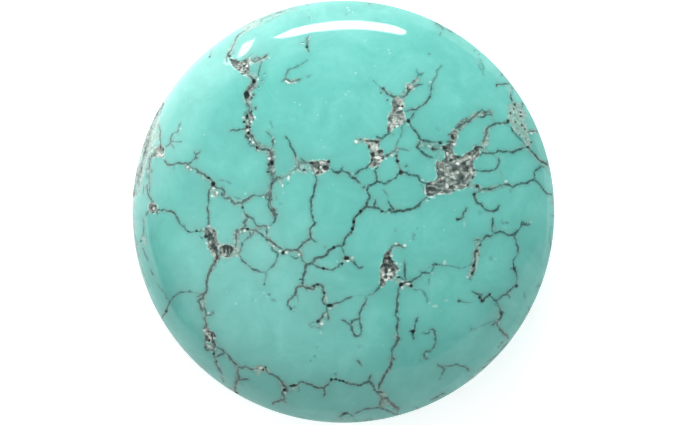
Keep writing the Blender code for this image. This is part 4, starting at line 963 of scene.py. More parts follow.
# Bands of crumbly matrix along the main veins: width, amount, paleness, route.
BANDS = [
    (11.0, 0.85, 0.35, (160.5, 106.5, 157.5, 114, 152.5, 124, 149, 134, 146.2, 143, 144, 152, 142, 162, 139,
        172, 136.5, 182, 134.2, 192)),
    (7.0, 0.7, 0.55, (149, 158, 148, 166, 148, 175, 147.6, 185)),
    (8.0, 0.9, 0.35, (245, 72, 251.6, 75.5, 254.5, 82, 249.5, 90, 247, 99, 250, 108.5, 246.5, 116, 247.5,
        124.5, 247.5, 131.5, 251.5, 140, 258.7, 147, 268, 150.5, 271.5, 156, 271, 165, 272, 172.6, 274.5,
        179.6)),
    (6.0, 0.8, 0.45, (274.5, 179.6, 271, 187, 268.5, 195.2, 270, 205, 274, 211, 275, 217)),
    (5.5, 0.6, 0.9, (277, 180, 283, 178, 289, 174.5, 294, 170, 300, 166, 308, 163.5)),
    (5.0, 0.55, 0.9, (296, 159, 298, 164, 300, 169.5, 304, 171.5, 309, 171)),
    (6.0, 0.7, 0.6, (187, 166, 192, 168, 198, 171.5, 205, 176, 211, 181, 214, 187, 216, 194)),
    (4.5, 0.5, 0.55, (217, 188, 223, 193, 229, 199, 236, 203, 243, 202, 251, 197)),
    (5.0, 0.55, 0.75, (228, 56, 232, 46, 238.5, 36, 246, 30.5, 252, 27, 262, 21.5, 272, 17, 285, 11, 298,
        8)),
    (6.0, 0.7, 0.5, (251, 61, 256, 60.5, 262, 59, 267, 56)),
    (5.0, 0.6, 0.5, (286, 80, 291, 81.5, 297, 80.5)),
    (7.0, 0.75, 0.75, (236, 240, 237.5, 232, 243, 229, 246, 222, 246, 215)),
    (5.0, 0.6, 0.75, (244, 229, 251, 231.5, 256, 230, 262, 227, 267, 227)),
    (5.5, 0.6, 0.8, (266.5, 227, 267, 233, 269, 240, 274, 245, 281, 250)),
    (6.0, 0.75, 0.9, (236.5, 245, 238.5, 250, 237, 255)),
    (6.0, 0.7, 0.65, (219, 254, 216.5, 260, 213.5, 266, 210.5, 271)),
    (4.0, 0.45, 0.5, (210.5, 271, 208, 279, 206.5, 287, 203.5, 295)),
    (6.0, 0.7, 0.65, (203.5, 295, 200.5, 301, 202.5, 308, 205, 314, 205, 321, 205.5, 328)),
    (8.0, 0.7, 0.6, (207, 344, 211, 349, 215, 352)),
    (5.0, 0.55, 0.6, (214.5, 352, 216, 360, 219, 369, 223, 376)),
    (4.5, 0.5, 0.5, (219, 350, 226, 354, 232, 361, 238, 367, 247, 368.5)),
    (6.0, 0.55, 0.45, (237.5, 366, 238, 374, 237, 382, 235.5, 389, 236, 395)),
    (5.0, 0.65, 0.85, (255, 369, 262, 368, 268, 372)),
    (7.0, 0.65, 0.6, (281, 383, 285.5, 389, 291, 388, 296, 386.5)),
    (6.0, 0.6, 0.6, (284.5, 389, 283.5, 396, 281, 401)),
    (5.0, 0.5, 0.6, (283, 252, 290, 251.5, 298, 250.5, 301, 254)),
    (5.0, 0.55, 0.7, (302.5, 285.5, 309, 288.5, 315.5, 286, 321.5, 286.5, 323.5, 293, 325.5, 301, 328.5,
        306, 335, 304)),
    (5.5, 0.6, 0.85, (326, 314, 321.5, 321, 319, 326.5)),
    (5.0, 0.6, 0.9, (343, 260, 347.5, 260, 352, 259)),
    (5.0, 0.4, 0.6, (311, 229, 311, 238, 305, 242)),
    (6.0, 0.65, 0.75, (357, 141.5, 363, 140.5, 368, 141)),
    (5.0, 0.6, 0.75, (382, 157, 387, 155.5, 393, 153, 396, 149)),
    (4.5, 0.5, 0.6, (396.5, 153, 397.5, 161, 400, 169, 403, 173)),
    (7.0, 0.7, 0.4, (402, 97, 407, 91, 411.5, 86.5, 417, 81)),
    (4.5, 0.4, 0.5, (381, 88, 388, 93.5, 394, 98)),
    (4.0, 0.4, 0.5, (409, 110, 418, 107.5, 426, 102)),
    (9.0, 0.5, 0.35, (421, 143, 427, 145, 433, 147, 438, 150, 438, 156)),
    (9.0, 0.85, 0.3, (452, 143, 454.5, 134, 459.5, 127.5, 466, 121.5)),
    (6.0, 0.7, 0.45, (467, 121.5, 475, 116, 483, 113.5, 491, 112.5)),
    (7.0, 0.65, 0.65, (476, 148, 482, 149, 485.5, 143, 486.5, 135, 487.5, 129)),
    (4.0, 0.4, 0.6, (487, 129, 495, 124.5, 503, 123, 509, 121)),
    (7.0, 0.65, 0.85, (470, 185, 475, 187.5, 479.5, 188.5)),
    (5.0, 0.45, 0.6, (479, 191, 487, 189.5, 497, 187.5, 507, 184.5)),
    (7.0, 0.65, 0.8, (477, 241, 477, 249, 475.5, 257, 474.5, 265, 471, 274)),
    (5.0, 0.5, 0.7, (501, 310, 500, 318, 498, 324, 503, 332, 507, 337)),
    (5.0, 0.55, 0.55, (402, 246, 395, 246, 389.5, 251)),
    (6.0, 0.6, 0.75, (397, 280, 402, 284.5, 408, 284.5)),
    (5.0, 0.5, 0.8, (396, 336, 398, 341, 397, 345)),
    (5.0, 0.5, 0.7, (391.5, 359, 391, 366, 388, 371)),
    (5.0, 0.5, 0.7, (378, 387, 378.5, 392, 381.5, 399)),
    (6.0, 0.6, 0.6, (381, 403, 386, 400, 392, 405, 397, 410)),
    (4.0, 0.4, 0.6, (151, 157, 149.5, 166, 149, 178, 147.5, 188, 150, 198)),
    (5.0, 0.5, 0.75, (512, 102, 514, 110, 521, 113)),
    (5.0, 0.45, 0.7, (512, 88, 511, 95, 512, 102)),
    (5.0, 0.5, 0.75, (529, 131, 535, 131.5, 538, 131.5)),
    (5.0, 0.45, 0.6, (524, 145, 530, 150, 538, 159, 546, 164.5)),
]


def reach(angle):
    """Part of the dome's ellipse that is used at this direction."""
    return REACH_MIDDLE - REACH_SWING * np.cos(angle)


def dome_drop(part, angle):
    """Drop of the dome below its top at a part of its radius."""
    return DOME_RISE * (1.0 - np.sqrt(1.0 - (reach(angle) * part) ** 2))


def dome_slope(part, angle):
    """Slope of the dome outward, as an angle below the level."""
    used = reach(angle)
    return np.arctan(DOME_RISE * used * used * part / (RADIUS * np.sqrt(1.0 - (used * part) ** 2)))


def dome_radius(angle):
    """Radius at which the dome meets the rounded edge."""
    return RADIUS - EDGE_ROUND * (1.0 - np.sin(dome_slope(1.0, angle)))


# Runs along the chart, from its middle outward: at each part of the dome's radius, and
# where the dome, the rounded edge, the wall and the bevel end.
PARTS = np.linspace(0.0, 1.0, CHART_STEPS)
DROPS = dome_drop(PARTS, math.pi / 2.0)
RUNS = np.concatenate(([0.0], np.cumsum(np.hypot(np.diff(PARTS) * RADIUS, np.diff(DROPS)))))
DOME_END = RUNS[-1]
ROUND_END = DOME_END + ROUND_SPAN
WALL_END = ROUND_END + WALL_SPAN

# Runs at which rings of points go round the stone beyond the dome.
RING_RUNS = [DOME_END, DOME_END + ROUND_SPAN * 0.5, ROUND_END]
RING_RUNS += [ROUND_END + WALL_SPAN * step / WALL_RINGS for step in range(1, WALL_RINGS + 1)]
RING_RUNS += [WALL_END + BEVEL_SPAN * step / BEVEL_RINGS for step in range(1, BEVEL_RINGS + 1)]


def surface(chart):
    """Places and outward normals on the smooth stone of points of the chart."""
    run = np.hypot(chart[:, 0], chart[:, 1])
    angle = np.arctan2(chart[:, 1], chart[:, 0])
    part = np.interp(run, RUNS, PARTS)
    first = dome_slope(1.0, angle)
    edge_height = HEIGHT - dome_drop(1.0, angle)
    slope = dome_slope(part, angle)
    radius = part * dome_radius(angle)
    height = HEIGHT - dome_drop(part, angle)

    turned = np.clip((run - DOME_END) / ROUND_SPAN, 0.0, 1.0)
    turn = first + (math.pi / 2.0 - first) * turned
    beyond = run > DOME_END
    radius = np.where(beyond, RADIUS - EDGE_ROUND * (1.0 - np.sin(turn)), radius)
    round_height = edge_height - EDGE_ROUND * (np.cos(first) - np.cos(turn))
    height = np.where(beyond, round_height, height)
    slope = np.where(beyond, turn, slope)

    down = np.clip((run - ROUND_END) / WALL_SPAN, 0.0, 1.0)
    height = np.where(run > ROUND_END, height + (BACK_BEVEL - height) * down, height)
    under = np.clip((run - WALL_END) / BEVEL_SPAN, 0.0, 1.0) * math.pi / 2.0
    beveled = run > WALL_END
    radius = np.where(beveled, RADIUS - BACK_BEVEL * (1.0 - np.cos(under)), radius)
    height = np.where(beveled, BACK_BEVEL * (1.0 - np.sin(under)), height)
    slope = np.where(beveled, math.pi / 2.0 + under, slope)

    places = np.stack((radius * np.cos(angle), radius * np.sin(angle), height), axis=1)
    outward = np.sin(slope)
    normals = np.stack((outward * np.cos(angle), outward * np.sin(angle), np.cos(slope)), axis=1)
    return places, normals


def from_picture(pixels):
    """Points of the chart that are seen at these pixels of the picture."""
    across = (pixels[:, 0] - OUTLINE_X) / OUTLINE_RADIUS
    up = (OUTLINE_Y - pixels[:, 1]) / OUTLINE_RADIUS
    seen = np.hypot(across, up)
    angle = np.arctan2(up, across)
    part = np.minimum(seen, FIRST_PART)
    for _ in range(PROJECTION_ROUNDS):
        height = HEIGHT - dome_drop(part, angle)
        farther = (CAMERA_HEIGHT - height) / (CAMERA_HEIGHT - OUTLINE_HEIGHT)
        part = np.clip(seen * farther * RADIUS / dome_radius(angle), 0.0, LAST_PART)
    run = np.interp(part, PARTS, RUNS)
    return np.stack((run * np.cos(angle), run * np.sin(angle)), axis=1)


def pairs(flat):
    """Turn x, y, x, y, ... into rows of x, y."""
    return np.array(flat, dtype=float).reshape(-1, 2)


def smooth_route(points, spacing):
    """Points at even spacing along a smooth curve through the given points."""
    if len(points) < 3:
        corners = points
    else:
        ends = np.vstack((2 * points[0] - points[1], points, 2 * points[-1] - points[-2]))
        corners = []
        for before, start, end, after in zip(ends, ends[1:], ends[2:], ends[3:]):
            for step in np.arange(0.0, 1.0, 0.25):
                corners.append(0.5 * (
                    2 * start + (end - before) * step
                    + (2 * before - 5 * start + 4 * end - after) * step ** 2
                    + (3 * start - before - 3 * end + after) * step ** 3
                ))
        corners = np.vstack((corners, points[-1]))
    lengths = np.linalg.norm(np.diff(corners, axis=0), axis=1)
    runs = np.concatenate(([0.0], np.cumsum(lengths)))
    count = max(2, int(math.ceil(runs[-1] / spacing)) + 1)
    even = np.linspace(0.0, runs[-1], count)
    axes = range(corners.shape[1])
    return np.stack([np.interp(even, runs, corners[:, axis]) for axis in axes], axis=1)


def sway(places, size, shift=0.0):
    """Smooth noise from -1 to 1 at places in millimetres."""
    return np.array([
        noise.noise(Vector((p[0] / size + shift, p[1] / size, p[2] / size))) for p in places
    ])


def from_tips(count):
    """For each point of a route, how many points it is away from the nearer end."""
    return np.minimum(np.arange(count), np.arange(count)[::-1])


class Route:
    """A vein laid on the stone: its points on the chart and in space, and its half width there."""

    def __init__(self, width, darkness, flat):
        self.darkness = darkness
        self.chart = smooth_route(from_picture(pairs(flat)), VEIN_SPACING)
        self.chart += sum(self.jitter(size, shift) * amount for size, shift, amount in VEIN_STEPS)
        self.places = surface(self.chart)[0]
        beads = np.ones(len(self.chart))
        for size, shift, amount in VEIN_BEADS:
            beads += amount * sway(self.places, size, shift)
        self.half = 0.5 * width * PIXEL * WIDTH_SCALE * beads
        self.half *= np.clip(TIP_WIDTH + TIP_GROWTH * from_tips(len(beads)), 0.0, 1.0)

    def jitter(self, size, shift):
        """Small sideways steps of the vein, from -1 to 1, none at its ends."""
        flat = np.column_stack((self.chart, np.zeros(len(self.chart))))
        steps = np.stack((sway(flat, size, shift), sway(flat, size, shift + 5.0)), axis=1)
        return steps * np.clip(from_tips(len(flat)) / 3.0, 0.0, 1.0)[:, None]


ROUTES = [Route(*vein) for group in VEINS.values() for vein in group]
STAIN_ROUTES = [
    (width, amount, smooth_route(from_picture(pairs(flat)), STAIN_SPACING))
    for width, amount, flat in EDGE_STAINS
]
BAND_ROUTES = [
    (width, amount, paleness, smooth_route(from_picture(pairs(flat)), BAND_SPACING))
    for width, amount, paleness, flat in BANDS
]
PATCH_CHARTS = [from_picture(pairs(flat)) for flat in PATCHES.values()]
CRUST_CHARTS = [from_picture(pairs(flat)) for flat in CRUSTS.values()]


def inside(points, outline):
    """True for points within a closed outline."""
    result = np.zeros(len(points), dtype=bool)
    for start, end in zip(outline, np.roll(outline, -1, axis=0)):
        crosses = (start[1] > points[:, 1]) != (end[1] > points[:, 1])
        climb = end[1] - start[1]
        part = (points[:, 1] - start[1]) * (end[0] - start[0]) / (climb if climb else 1.0)
        result ^= crosses & (points[:, 0] < start[0] + part)
    return result


def distance_to(points, starts, ends):
    """Distance of each point to each of some short lines, and how far along them its foot is."""
    along = ends - starts
    length = np.maximum((along ** 2).sum(axis=1), 1e-12)
    offset = points[:, None, :] - starts[None, :, :]
    part = np.clip((offset * along[None]).sum(axis=2) / length[None], 0.0, 1.0)
    away = np.linalg.norm(offset - part[:, :, None] * along[None], axis=2)
    return away, part


def near_box(points, others, margin):
    """Indices of points inside the box of others, grown by a margin."""
    low = others.min(axis=0) - margin
    high = others.max(axis=0) + margin
    return np.nonzero(np.all((points >= low) & (points <= high), axis=1))[0]


def take_deeper(chosen, depth, field, *others):
    """Keep the greater depth at the chosen points, and the values that go with it."""
    better = depth > field[chosen]
    field[chosen] = np.where(better, depth, field[chosen])
    for values, value in others:
        values[chosen] = np.where(better, value, values[chosen])


def outline_field(chart, outlines, values=None):
    """Depth inside the outlines in millimetres, negative outside, and the value of the nearest."""
    field = np.full(len(chart), -FIELD_LIMIT)
    value = np.zeros(len(chart))
    for number, outline in enumerate(outlines):
        chosen = near_box(chart, outline, FIELD_LIMIT)
        if not len(chosen):
            continue
        away = distance_to(chart[chosen], outline, np.roll(outline, -1, axis=0))[0].min(axis=1)
        depth = np.where(inside(chart[chosen], outline), away, -away)
        take_deeper(chosen, depth, field, (value, values[number] if values else 0.0))
    return field, value


def spot_field(chart, spots):
    """Depth inside round spots in millimetres, and the strength of the nearest spot."""
    field = np.full(len(chart), -FIELD_LIMIT)
    strength = np.zeros(len(chart))
    for across, up, wide, tall, amount in spots:
        middle = from_picture(np.array([[across, up]]))
        chosen = near_box(chart, middle, FIELD_LIMIT + max(wide, tall) * PIXEL)
        offset = chart[chosen] - middle
        half = np.array((wide, tall)) * PIXEL
        depth = (1.0 - np.hypot(offset[:, 0] / half[0], offset[:, 1] / half[1])) * half.min()
        take_deeper(chosen, depth, field, (strength, amount))
    return field, strength


def vein_field(places):
    """Depth inside the veins in millimetres, their darkness, and the stain of the stone beside them."""
    field = np.full(len(places), -FIELD_LIMIT)
    darkness = np.zeros(len(places))
    stain = np.zeros(len(places))
    for route in ROUTES:
        chosen = near_box(places, route.places, FIELD_LIMIT)
        if not len(chosen):
            continue
        away, part = distance_to(places[chosen], route.places[:-1], route.places[1:])
        half = route.half[:-1] + (route.half[1:] - route.half[:-1]) * part
        take_deeper(chosen, (half - away).max(axis=1), field, (darkness, route.darkness))
        close = route.darkness * np.exp(-away.min(axis=1) / STAIN_REACH)
        stain[chosen] = 1.0 - (1.0 - stain[chosen]) * (1.0 - STAIN_STRENGTH * close)
    return field, darkness, stain


def band_field(chart):
    """Depth inside the crumbly bands in millimetres, and how dense and how pale they are there."""
    field = np.full(len(chart), -FIELD_LIMIT)
    amount = np.zeros(len(chart))
    paleness = np.full(len(chart), PLAIN_PALENESS)
    for width, dense, pale, route in BAND_ROUTES:
        chosen = near_box(chart, route, FIELD_LIMIT)
        if not len(chosen):
            continue
        away = distance_to(chart[chosen], route[:-1], route[1:])[0].min(axis=1)
        depth = 0.5 * width * PIXEL - away
        take_deeper(chosen, depth, field, (amount, dense), (paleness, pale))
    return field, amount, paleness


def cell(point, size):
    """Column and row of the square cell that a point lies in."""
    return math.floor(point[0] / size), math.floor(point[1] / size)


def is_free(point, gap, table):
    """True if no point of the table is nearer than the gap. The table's cells are as wide."""
    column, row = cell(point, gap)
    for beside in (-1, 0, 1):
        for above in (-1, 0, 1):
            for other in table.get((column + beside, row + above), ()):
                if (other[0] - point[0]) ** 2 + (other[1] - point[1]) ** 2 < gap * gap:
                    return False
    return True


class Points:
    """Points of the mesh on the chart, none of them too near another."""

    def __init__(self):
        self.kept = []
        self.near = {}
        self.wide = {}
        self.coarse = set()

    def add(self, points, gap=NEAREST):
        """Keep those of the points that are on the dome and leave this gap to all others."""
        for x, y in points:
            point = (float(x), float(y))
            if math.hypot(*point) > DOME_END - EDGE_MARGIN or not is_free(point, NEAREST, self.near):
                continue
            if gap > NEAREST and not is_free(point, gap, self.wide):
                continue
            self.near.setdefault(cell(point, NEAREST), []).append(point)
            self.wide.setdefault(cell(point, WIDE_GAP), []).append(point)
            self.coarse.add(cell(point, CLEARANCE))
            self.kept.append(point)


def sideways(route):
    """Unit steps to the left of a route at each of its points."""
    along = np.gradient(route, axis=0)
    along /= np.maximum(np.linalg.norm(along, axis=1, keepdims=True), 1e-9)
    return np.stack((-along[:, 1], along[:, 0]), axis=1)


def chart_points():
    """Points of the mesh on the chart, fine along the veins, pits and patches and wide elsewhere."""
    points = Points()
    for shift in VEIN_ROWS:
        for route in ROUTES:
            points.add(route.chart + sideways(route.chart) * (route.half * shift)[:, None])
    for spots, rings in ((PITS, PIT_RINGS), (GRAINS_AND_GLINTS, GLINT_RINGS)):
        for across, up, wide, tall, _ in spots:
            middle = from_picture(np.array([[across, up]]))[0]
            for size, count in rings:
                dense = max(count, int(count * max(wide, tall) / 2.0))
                for turn in range(dense):
                    angle = 2.0 * math.pi * turn / dense
                    offset = np.array((wide * math.cos(angle), tall * math.sin(angle)))
                    points.add([middle + size * PIXEL * offset])
    for outlines, spacing in ((PATCH_CHARTS, PATCH_SPACING), (CRUST_CHARTS, CRUST_SPACING)):
        for outline in outlines:
            low = outline.min(axis=0) - GRID_MARGIN
            high = outline.max(axis=0) + GRID_MARGIN
            grid = hex_grid(low, high, spacing)
            points.add(grid[outline_field(grid, [outline])[0] > -GRID_REACH])
    for width, _, _, route in BAND_ROUTES:
        side = sideways(route) * 0.5 * width * PIXEL
        for shift in BAND_ROWS:
            points.add(route + side * shift, WIDE_GAP)
    base = disc_grid(DOME_END, BASE_SPACING, 0.6)
    points.add([point for point in base if cell(point, CLEARANCE) not in points.coarse])
    return points.kept


def hex_grid(low, high, spacing):
    """Points of a triangular grid over a box, a little uneven."""
    points = []
    row = 0
    up = low[1]
    while up <= high[1]:
        start = low[0] + (0.5 * spacing if row % 2 else 0.0)
        for across in np.arange(start, high[0], spacing):
            place = Vector((across * GRID_GRAIN, up * GRID_GRAIN, 0.0))
            beside = noise.noise(place) * spacing * GRID_WOBBLE
            above = noise.noise(place + Vector((0.0, 0.0, GRID_SHIFT))) * spacing * GRID_WOBBLE
            points.append((across + beside, up + above))
        up += spacing * 0.866
        row += 1
    return np.array(points).reshape(-1, 2)


def disc_grid(radius, spacing, inset):
    """Points of a triangular grid over a disc, some part of a spacing inside its edge."""
    grid = hex_grid(np.full(2, -radius), np.full(2, radius), spacing)
    return grid[np.hypot(grid[:, 0], grid[:, 1]) < radius - spacing * inset]


def ring(radius):
    """Points of one ring round the middle."""
    return [(
        radius * math.cos(2.0 * math.pi * turn / EDGE_POINTS),
        radius * math.sin(2.0 * math.pi * turn / EDGE_POINTS),
    ) for turn in range(EDGE_POINTS)]


def triangles_of(points, loop):
    """Triangles between points, kept inside a closed loop of point numbers."""
    edges = list(zip(loop, loop[1:] + loop[:1]))
    made = delaunay_2d_cdt([Vector(point) for point in points], edges, [], 0, 1e-7, True)
    verts, faces, origins = made[0], made[2], made[3]
    if len(verts) != len(points):
        raise ValueError("points of the chart coincide")
    first = [origin[0] for origin in origins]
    return [[first[corner] for corner in face] for face in faces]


def rise(value, low, high):
    """Smooth step from 0 at low to 1 at high."""
    part = np.clip((value - low) / (high - low), 0.0, 1.0)
    return part * part * (3.0 - 2.0 * part)


def join_faces(front, back_grid):
    """Add the rings beyond the dome to the front's points, and list all faces of the stone."""
    start = len(front)
    for run in RING_RUNS:
        front.extend(ring(run))
    inner = list(range(start, start + EDGE_POINTS))
    faces = triangles_of(front[:start + EDGE_POINTS], inner)
    for level in range(len(RING_RUNS) - 1):
        upper = start + level * EDGE_POINTS
        lower = upper + EDGE_POINTS
        for turn in range(EDGE_POINTS):
            beside = (turn + 1) % EDGE_POINTS
            faces.append([upper + turn, lower + turn, lower + beside, upper + beside])

    # The flat back shares the last ring with the bevel.
    number = list(range(len(front) - EDGE_POINTS, len(front) + len(back_grid)))
    back = ring(RADIUS - BACK_BEVEL) + [tuple(point) for point in back_grid]
    for face in triangles_of(back, list(range(EDGE_POINTS))):
        faces.append([number[corner] for corner in reversed(face)])
    return faces


def markings(chart, places):
    """Depths inside the stone's markings at each point, and how strong or pale they are."""
    veins, darkness, stain = vein_field(places)
    pits, pit_darkness = spot_field(chart, PITS)
    glints, glint_strength = spot_field(chart, GRAINS_AND_GLINTS)
    pale = [PALE_PATCHES.get(name, 0.0) for name in PATCHES]
    patches, patch_pale = outline_field(chart, PATCH_CHARTS, pale)
    crusts = outline_field(chart, CRUST_CHARTS)[0]
    bands, band_amount, band_pale = band_field(chart)

    # Pits, pale grains and painted highlights are strongest where they lie in matrix.
    beside = rise(np.maximum.reduce((patches, bands, crusts)), -0.4, -0.05)
    at_vein = rise(veins, -0.3, -0.05)
    edge_stain = np.zeros(len(chart))
    for width, amount, route in STAIN_ROUTES:
        away = distance_to(chart, route[:-1], route[1:])[0].min(axis=1)
        fade = 1.0 - rise(away, 0.3 * width * PIXEL, 1.1 * width * PIXEL)
        edge_stain = np.maximum(edge_stain, amount * fade)
    run = np.hypot(chart[:, 0], chart[:, 1])
    return {
        "vein": veins,
        "vein_darkness": darkness,
        "vein_stain": stain,
        "pit": pits,
        "pit_darkness": pit_darkness * (0.4 + 0.6 * np.maximum(beside, at_vein)),
        "glint": glints,
        "glint_strength": glint_strength * (0.35 + 0.45 * beside),
        "patch": patches,
        "patch_pale": patch_pale,
        "crust": crusts,
        "band": bands,
        "band_amount": band_amount,
        "band_pale": band_pale,
        "edge_stain": edge_stain,
        "unseen": rise(run, DOME_END - 0.6, ROUND_END + 0.3),
    }


def relief(places, marks):
    """How far the matrix lies below the polish at each point, in millimetres."""
    patches, pits, crusts, bands = (marks[name] for name in ("patch", "pit", "crust", "band"))
    worked = (patches > -0.2) | (pits > -0.1) | (crusts > -0.1) | (bands > -0.1)
    rough = np.zeros(len(places))
    rough[worked] = sway(places[worked], 0.42, 11.0) + 0.6 * sway(places[worked], 0.2, 23.0)
    depth = PATCH_DEPTH * rise(patches, -0.03, 0.24) * (1.0 + PATCH_ROUGHNESS * rough)
    depth = np.maximum(depth, PIT_DEPTH * rise(pits, -0.02, 0.12) * marks["pit_darkness"])
    depth += CRUST_DEPTH * rise(crusts, -0.02, 0.1) * (1.0 + rough)
    band_depth = BAND_DEPTH * rise(bands, -0.02, 0.15) * marks["band_amount"]
    depth += band_depth * (1.0 + BAND_ROUGHNESS * rough)
    depth += VEIN_DEPTH * rise(marks["vein"], -0.01, 0.05) * marks["vein_darkness"]
    return depth


def build_stone():
    """The whole stone as one closed mesh, with its markings as numbers on the points."""
    front = chart_points()
    back_grid = disc_grid(RADIUS - BACK_BEVEL, BACK_SPACING, 0.5)
    faces = join_faces(front, back_grid)
    chart = np.array(front)
    places, normals = surface(chart)
    marks = markings(chart, places)
    at_rim = np.hypot(chart[:, 0], chart[:, 1]) > DOME_END - 0.05
    depth = np.where(at_rim, 0.0, relief(places, marks))
    places = places - normals * depth[:, None]
    places = np.vstack((places, np.column_stack((back_grid, np.zeros(len(back_grid))))))

    mesh = bpy.data.meshes.new("turquoise_stone_polished")
    mesh.from_pydata((places * MM).tolist(), [], faces)
    mesh.validate()
    for name, values in marks.items():
        behind = np.full(len(back_grid), BACK_VALUES.get(name, 0.0))
        attribute = mesh.attributes.new(name, "FLOAT", "POINT")
        attribute.data.foreach_set("value", np.concatenate((values, behind)).astype(np.float32))
    mesh.polygons.foreach_set("use_smooth", [True] * len(mesh.polygons))
    mesh.update()
    stone = bpy.data.objects.new("turquoise_stone_polished", mesh)
    bpy.context.scene.collection.objects.link(stone)
    return stone


class Nodes:
    """Short calls that add and join the nodes of a material or of the world."""

    def __init__(self, tree, place="Object"):
        self.tree = tree
        self.place = self.add("ShaderNodeTexCoord").outputs[place]

    def moved(self, step):
        """The places moved by a step in metres, for a noise of its own."""
        made = self.add("ShaderNodeVectorMath", operation="ADD")
        self.join(self.place, made.inputs[0])
        made.inputs[1].default_value = step
        return made.outputs[0]

    def add(self, kind, **settings):
        """A new node of a kind, with its settings."""
        made = self.tree.nodes.new(kind)
        for name, value in settings.items():
            setattr(made, name, value)
        return made

    def join(self, value, socket):
        """Link a node's output to a socket, or set a plain number there."""
        if isinstance(value, bpy.types.NodeSocket):
            self.tree.links.new(value, socket)
        else:
            socket.default_value = value

    def field(self, name):
        """One of the markings that are stored on the points of the mesh."""
        return self.add("ShaderNodeAttribute", attribute_name=name).outputs["Fac"]

    def math(self, operation, *values):
        """The result of one sum or comparison of outputs and numbers."""
        made = self.add("ShaderNodeMath", operation=operation)
        for value, socket in zip(values, made.inputs):
            self.join(value, socket)
        return made.outputs[0]

    def noise(self, size, detail=3.0, roughness=0.55, distortion=0.0, place=None):
        """Noise from about 0 to 1 whose blotches are about size millimetres wide."""
        made = self.add("ShaderNodeTexNoise")
        self.tree.links.new(place or self.place, made.inputs["Vector"])
        made.inputs["Scale"].default_value = 1.0 / (size * MM)
        made.inputs["Detail"].default_value = detail
        made.inputs["Roughness"].default_value = roughness
        made.inputs["Distortion"].default_value = distortion
        return made.outputs["Fac"]

    def step(self, value, low, high, to_low=0.0, to_high=1.0):
        """A smooth step between two values of the input."""
        made = self.add("ShaderNodeMapRange", interpolation_type="SMOOTHSTEP")
        self.join(value, made.inputs["Value"])
        made.inputs["From Min"].default_value = low
        made.inputs["From Max"].default_value = high
        made.inputs["To Min"].default_value = to_low
        made.inputs["To Max"].default_value = to_high
        return made.outputs["Result"]

    def ragged(self, value, grain, amount):
        """A field of depths with its edge made uneven by a noise."""
        return self.math("ADD", value, self.math("MULTIPLY", self.math("SUBTRACT", grain, 0.5), amount))

    def times(self, *values):
        """The product of some outputs and numbers."""
        result = values[0]
        for value in values[1:]:
            result = self.math("MULTIPLY", result, value)
        return result

    def mix(self, amount, first, second):
        """A mix of two colours, each an output or a plain colour."""
        made = self.add("ShaderNodeMix", data_type="RGBA")
        self.join(amount, made.inputs["Factor"])
        for value, socket in ((first, made.inputs[6]), (second, made.inputs[7])):
            if isinstance(value, tuple):
                socket.default_value = (*value, 1.0)
            else:
                self.tree.links.new(value, socket)
        return made.outputs[2]

    def ramp(self, value, *stops):
        """A colour that runs through some stops, each a position and a colour."""
        made = self.add("ShaderNodeValToRGB")
        self.join(value, made.inputs["Fac"])
        band = made.color_ramp
        while len(band.elements) < len(stops):
            band.elements.new(0.5)
        for element, (position, colour) in zip(band.elements, stops):
            element.position = position
            element.color = (*colour, 1.0)
        return made.outputs["Color"]


# Cells of the web of veins on the unseen wall and back, and how far it bends, in millimetres.
WEB_SIZE = 4.4
WEB_BEND = 2.2
# The matrix's own noises are read this far away from the stone's, in metres.
NOISE_STEP = (0.031, 0.017, 0.043)
# Cells of the pale specks in the stone, in millimetres, and how well polish bends light.
SPECK_SIZE = 0.62
STONE_IOR = 1.61

# Colours, linear.
DEEP = (0.098, 0.400, 0.352)
BODY = (0.118, 0.462, 0.407)
LIGHT = (0.160, 0.530, 0.470)
STAINED = (0.105, 0.335, 0.295)
MINT = (0.290, 0.560, 0.480)
BEIGE = (0.330, 0.400, 0.330)
EDGE_MINT = (0.440, 0.690, 0.610)
VEIN_DARK = (0.014, 0.042, 0.040)
VEIN_TEAL = (0.036, 0.115, 0.106)
PIT_DARK = (0.010, 0.026, 0.026)
SHADE = (0.060, 0.215, 0.195)
MATRIX_DARK = (0.028, 0.048, 0.046)
MATRIX_DIM = (0.100, 0.135, 0.122)
MATRIX_MIDDLE = (0.210, 0.260, 0.232)
MATRIX_LIGHT = (0.440, 0.510, 0.460)
CRUST_DIM = (0.130, 0.215, 0.190)
CRUST_MIDDLE = (0.285, 0.455, 0.390)
CRUST_LIGHT = (0.510, 0.680, 0.610)
BAND_MIDDLE = (0.235, 0.330, 0.285)
BAND_LIGHT = (0.460, 0.580, 0.510)
# Near white of the pale grains, and of the painted highlights on the matrix.
PALE_GRAIN_AND_GLINT = (0.780, 0.840, 0.790)


def unseen_markings(n, grain):
    """Veins, their stain and crust that the picture cannot show, on the wall and the back."""
    unseen = n.field("unseen")
    bend = n.add("ShaderNodeTexNoise")
    n.join(n.place, bend.inputs["Vector"])
    bend.inputs["Scale"].default_value = 1.0 / (WEB_BEND * MM)
    bend.inputs["Detail"].default_value = 3.0
    bent = n.add("ShaderNodeVectorMath", operation="MULTIPLY_ADD")
    n.join(bend.outputs["Color"], bent.inputs[0])
    bent.inputs[1].default_value = (WEB_BEND * MM, WEB_BEND * MM, WEB_BEND * MM)
    n.join(n.place, bent.inputs[2])
    web = n.add("ShaderNodeTexVoronoi", feature="DISTANCE_TO_EDGE")
    n.join(bent.outputs[0], web.inputs["Vector"])
    web.inputs["Scale"].default_value = 1.0 / (WEB_SIZE * MM)
    open_web = n.step(n.noise(5.0, 2.0), 0.44, 0.54)
    web_edge = n.ragged(web.outputs["Distance"], grain, 0.02)
    vein = n.times(n.step(web_edge, 0.014, 0.03, 1.0, 0.0), open_web, unseen)
    stain = n.times(n.step(web_edge, 0.02, 0.16, 1.0, 0.0), open_web, unseen)
    patch = n.times(n.step(n.noise(3.4, 4.0, 0.62, 0.6), 0.645, 0.675), unseen)
    return vein, stain, patch


